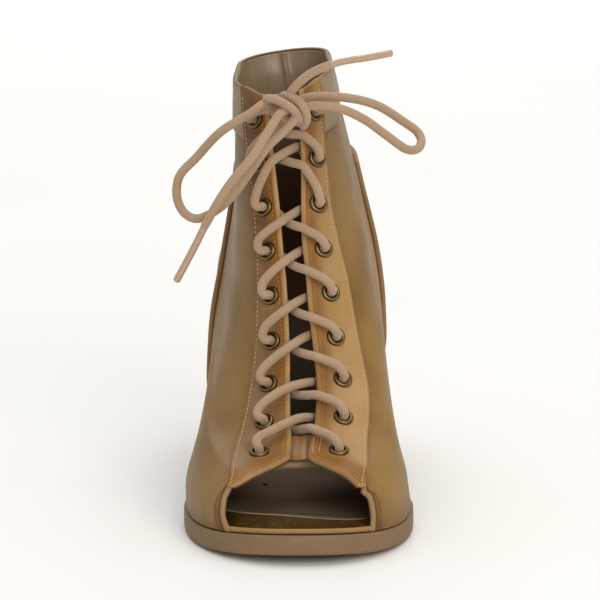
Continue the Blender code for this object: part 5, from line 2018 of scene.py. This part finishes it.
    def build(self) -> None:
        level, arcs = LAST.eyelet_places()[0]
        bar = []
        for u in np.linspace(-0.75, 0.75, 7):
            arc = u * abs(arcs[Side.INNER if u > 0 else Side.OUTER])
            bar.append(LAST.skin(level + self.bar_rise * (1 - u ** 4), arc, -self.bar_depth)[0])
        line = bend_through(self.climb(Side.OUTER)[::-1] + bar + self.climb(Side.INNER), self.step)
        crossings = [f"lace_cross_{row}" for row in range(1, LAST.eyelet_rows)]
        settle(self.tube("lace_through_eyelets", line), Slot.LACE, "lace_bar", *crossings)
        for name, rows in (("knot_wrap", self.wrap), ("knot_cap", self.cap), ("knot_core", self.core)):
            settle(self.tube(f"lace_{name}", bend_through(rows, self.step)), Slot.LACE, "lace_knot")
        for name, rows in (("loop_outer", self.loop_outer), ("loop_inner", self.loop_inner)):
            self.declare(f"lace_{name}", bend_through(rows, self.step), None)
        for name, rows in (("end_outer", self.end_outer), ("end_inner", self.end_inner)):
            line = bend_through(rows, self.step)
            self.declare(f"lace_{name}", line, self.tip(f"lace_tip_{name}", line))

    def declare(self, name: str, line: np.ndarray, tip: bpy.types.Object | None) -> None:
        """Build and settle one free cord of the bow.

        Args:
            name: Name of the CAD node it stands for.
            line: The cord's line.
            tip: The film on its far end, if it has one.
        """
        cord = settle(self.tube(f"braided_{name}", line, self.tip_length if tip else 0.0), Slot.LACE, name)

    def tip(self, name: str, line: np.ndarray) -> bpy.types.Object:
        """The clear film shrunk round the last of a lace, rounded at its end.

        Args:
            name: Name of the piece.
            line: The lace's line.

        Returns:
            The film.
        """
        back = np.cumsum(np.linalg.norm(np.diff(line[::-1], axis=0), axis=1))
        part = line[-int(np.searchsorted(back, self.tip_length)) - 1:]
        way = unit(np.gradient(part, axis=0))
        part = np.concatenate([part, part[-1:] + way[-1:] * 0.35, part[-1:] + way[-1:] * 0.6])
        way = np.concatenate([way, way[-1:], way[-1:]])
        size = np.full(len(part), self.tip_radius)
        size[-3:] = self.tip_radius - 0.04, self.tip_radius - 0.35, 0.6
        across = unit(np.cross(way, self.aside))
        rings = rings_round(part, size, across, np.cross(way, across), self.tip_sides)
        faces = tube_faces(*rings.shape[:2])
        return settle(new_piece(name, rings.reshape(-1, 3), faces, [ACETATE.make()]), Slot.LACE)


@dataclass
class Studio:
    """Pale floor, soft light and the camera at the photograph's angle."""

    target: Triple = (0.0012, -0.0114, 0.0844)
    distance: float = 1.45
    azimuth: float = -0.5
    elevation: float = 11.0
    lens: float = 213.0

    def build(self) -> None:
        """Set up the view, the lights and the floor."""
        self.camera()
        self.floor()
        self.light("key", (0.6, -1.5, 0.95), 1.0, 13.0, "#fff6ea")
        self.light("fill", (0.1, -1.8, 0.34), 1.0, 3.2, "#f7f6ff")
        self.light("top", (0.0, 0.3, 1.9), 1.6, 16.5, "#ffffff")
        self.light("backdrop", (0.0, 2.6, 1.5), 1.6, 22.0, "#ffffff", (0.0, 2.0, 0.0))
        world = bpy.data.worlds.new("white_room")
        bpy.context.scene.world = world
        world.use_nodes = True
        sky = world.node_tree.nodes["Background"]
        sky.inputs["Color"].default_value = (1.0, 1.0, 1.0, 1.0)
        sky.inputs["Strength"].default_value = 0.5
        bpy.context.scene.view_settings.view_transform = "Standard"

    def camera(self) -> None:
        """Put the camera at the photograph's angle, aimed at the boot's middle."""
        a, e = math.radians(self.azimuth), math.radians(self.elevation)
        back = Vector((math.sin(a) * math.cos(e), -math.cos(a) * math.cos(e), math.sin(e)))
        data = bpy.data.cameras.new("camera")
        data.lens, data.sensor_width = self.lens, 36.0
        camera = bpy.data.objects.new("camera", data)
        camera.location = Vector(self.target) + back * self.distance
        camera.rotation_mode = "QUATERNION"
        camera.rotation_quaternion = (-back).to_track_quat("-Z", "Y")
        bpy.context.scene.collection.objects.link(camera)
        bpy.context.scene.camera = camera

    def light(self, name: str, at: Triple, size: float, power: float, colour: str,
              aim: Triple | None = None) -> None:
        """A square soft light.

        Args:
            name: The light's name.
            at: Its place in metres.
            size: Its side in metres.
            power: Its power in watts.
            colour: Its sRGB hex colour.
            aim: Place it is aimed at, if that isn't the boot.
        """
        data = bpy.data.lights.new(name, "AREA")
        data.size, data.energy, data.color = size, power, linear(colour)[:3]
        lamp = bpy.data.objects.new(name, data)
        lamp.location = at
        lamp.rotation_mode = "QUATERNION"
        lamp.rotation_quaternion = (Vector(aim or self.target) - Vector(at)).to_track_quat("-Z", "Y")
        bpy.context.scene.collection.objects.link(lamp)

    def floor(self) -> None:
        """A wide round floor of studio paper."""
        mesh = bpy.data.meshes.new("floor")
        work = bmesh.new()
        bmesh.ops.create_circle(work, cap_ends=True, segments=96, radius=7.0)
        work.to_mesh(mesh)
        work.free()
        mesh.materials.append(PAPER.make())
        paper = bpy.data.objects.new("floor", mesh)
        paper.location.z = -0.0002
        bpy.context.scene.collection.objects.link(paper)


def main() -> None:
    """Build the view, then the lace and every other sub-assembly of the boot."""
    logging.basicConfig(level=logging.INFO, format="%(name)s: %(message)s")
    Studio().build()
    Lace().build()
    SideLeather().build()
    for side in Side:
        Eyestay(side).build()
    Overlays().build()
    sole = SoleUnit()
    sole.build()
    FootBed(sole).build()
    ThroatTab().build()
    Eyelets().build()


if __name__ == "__main__":
    main()
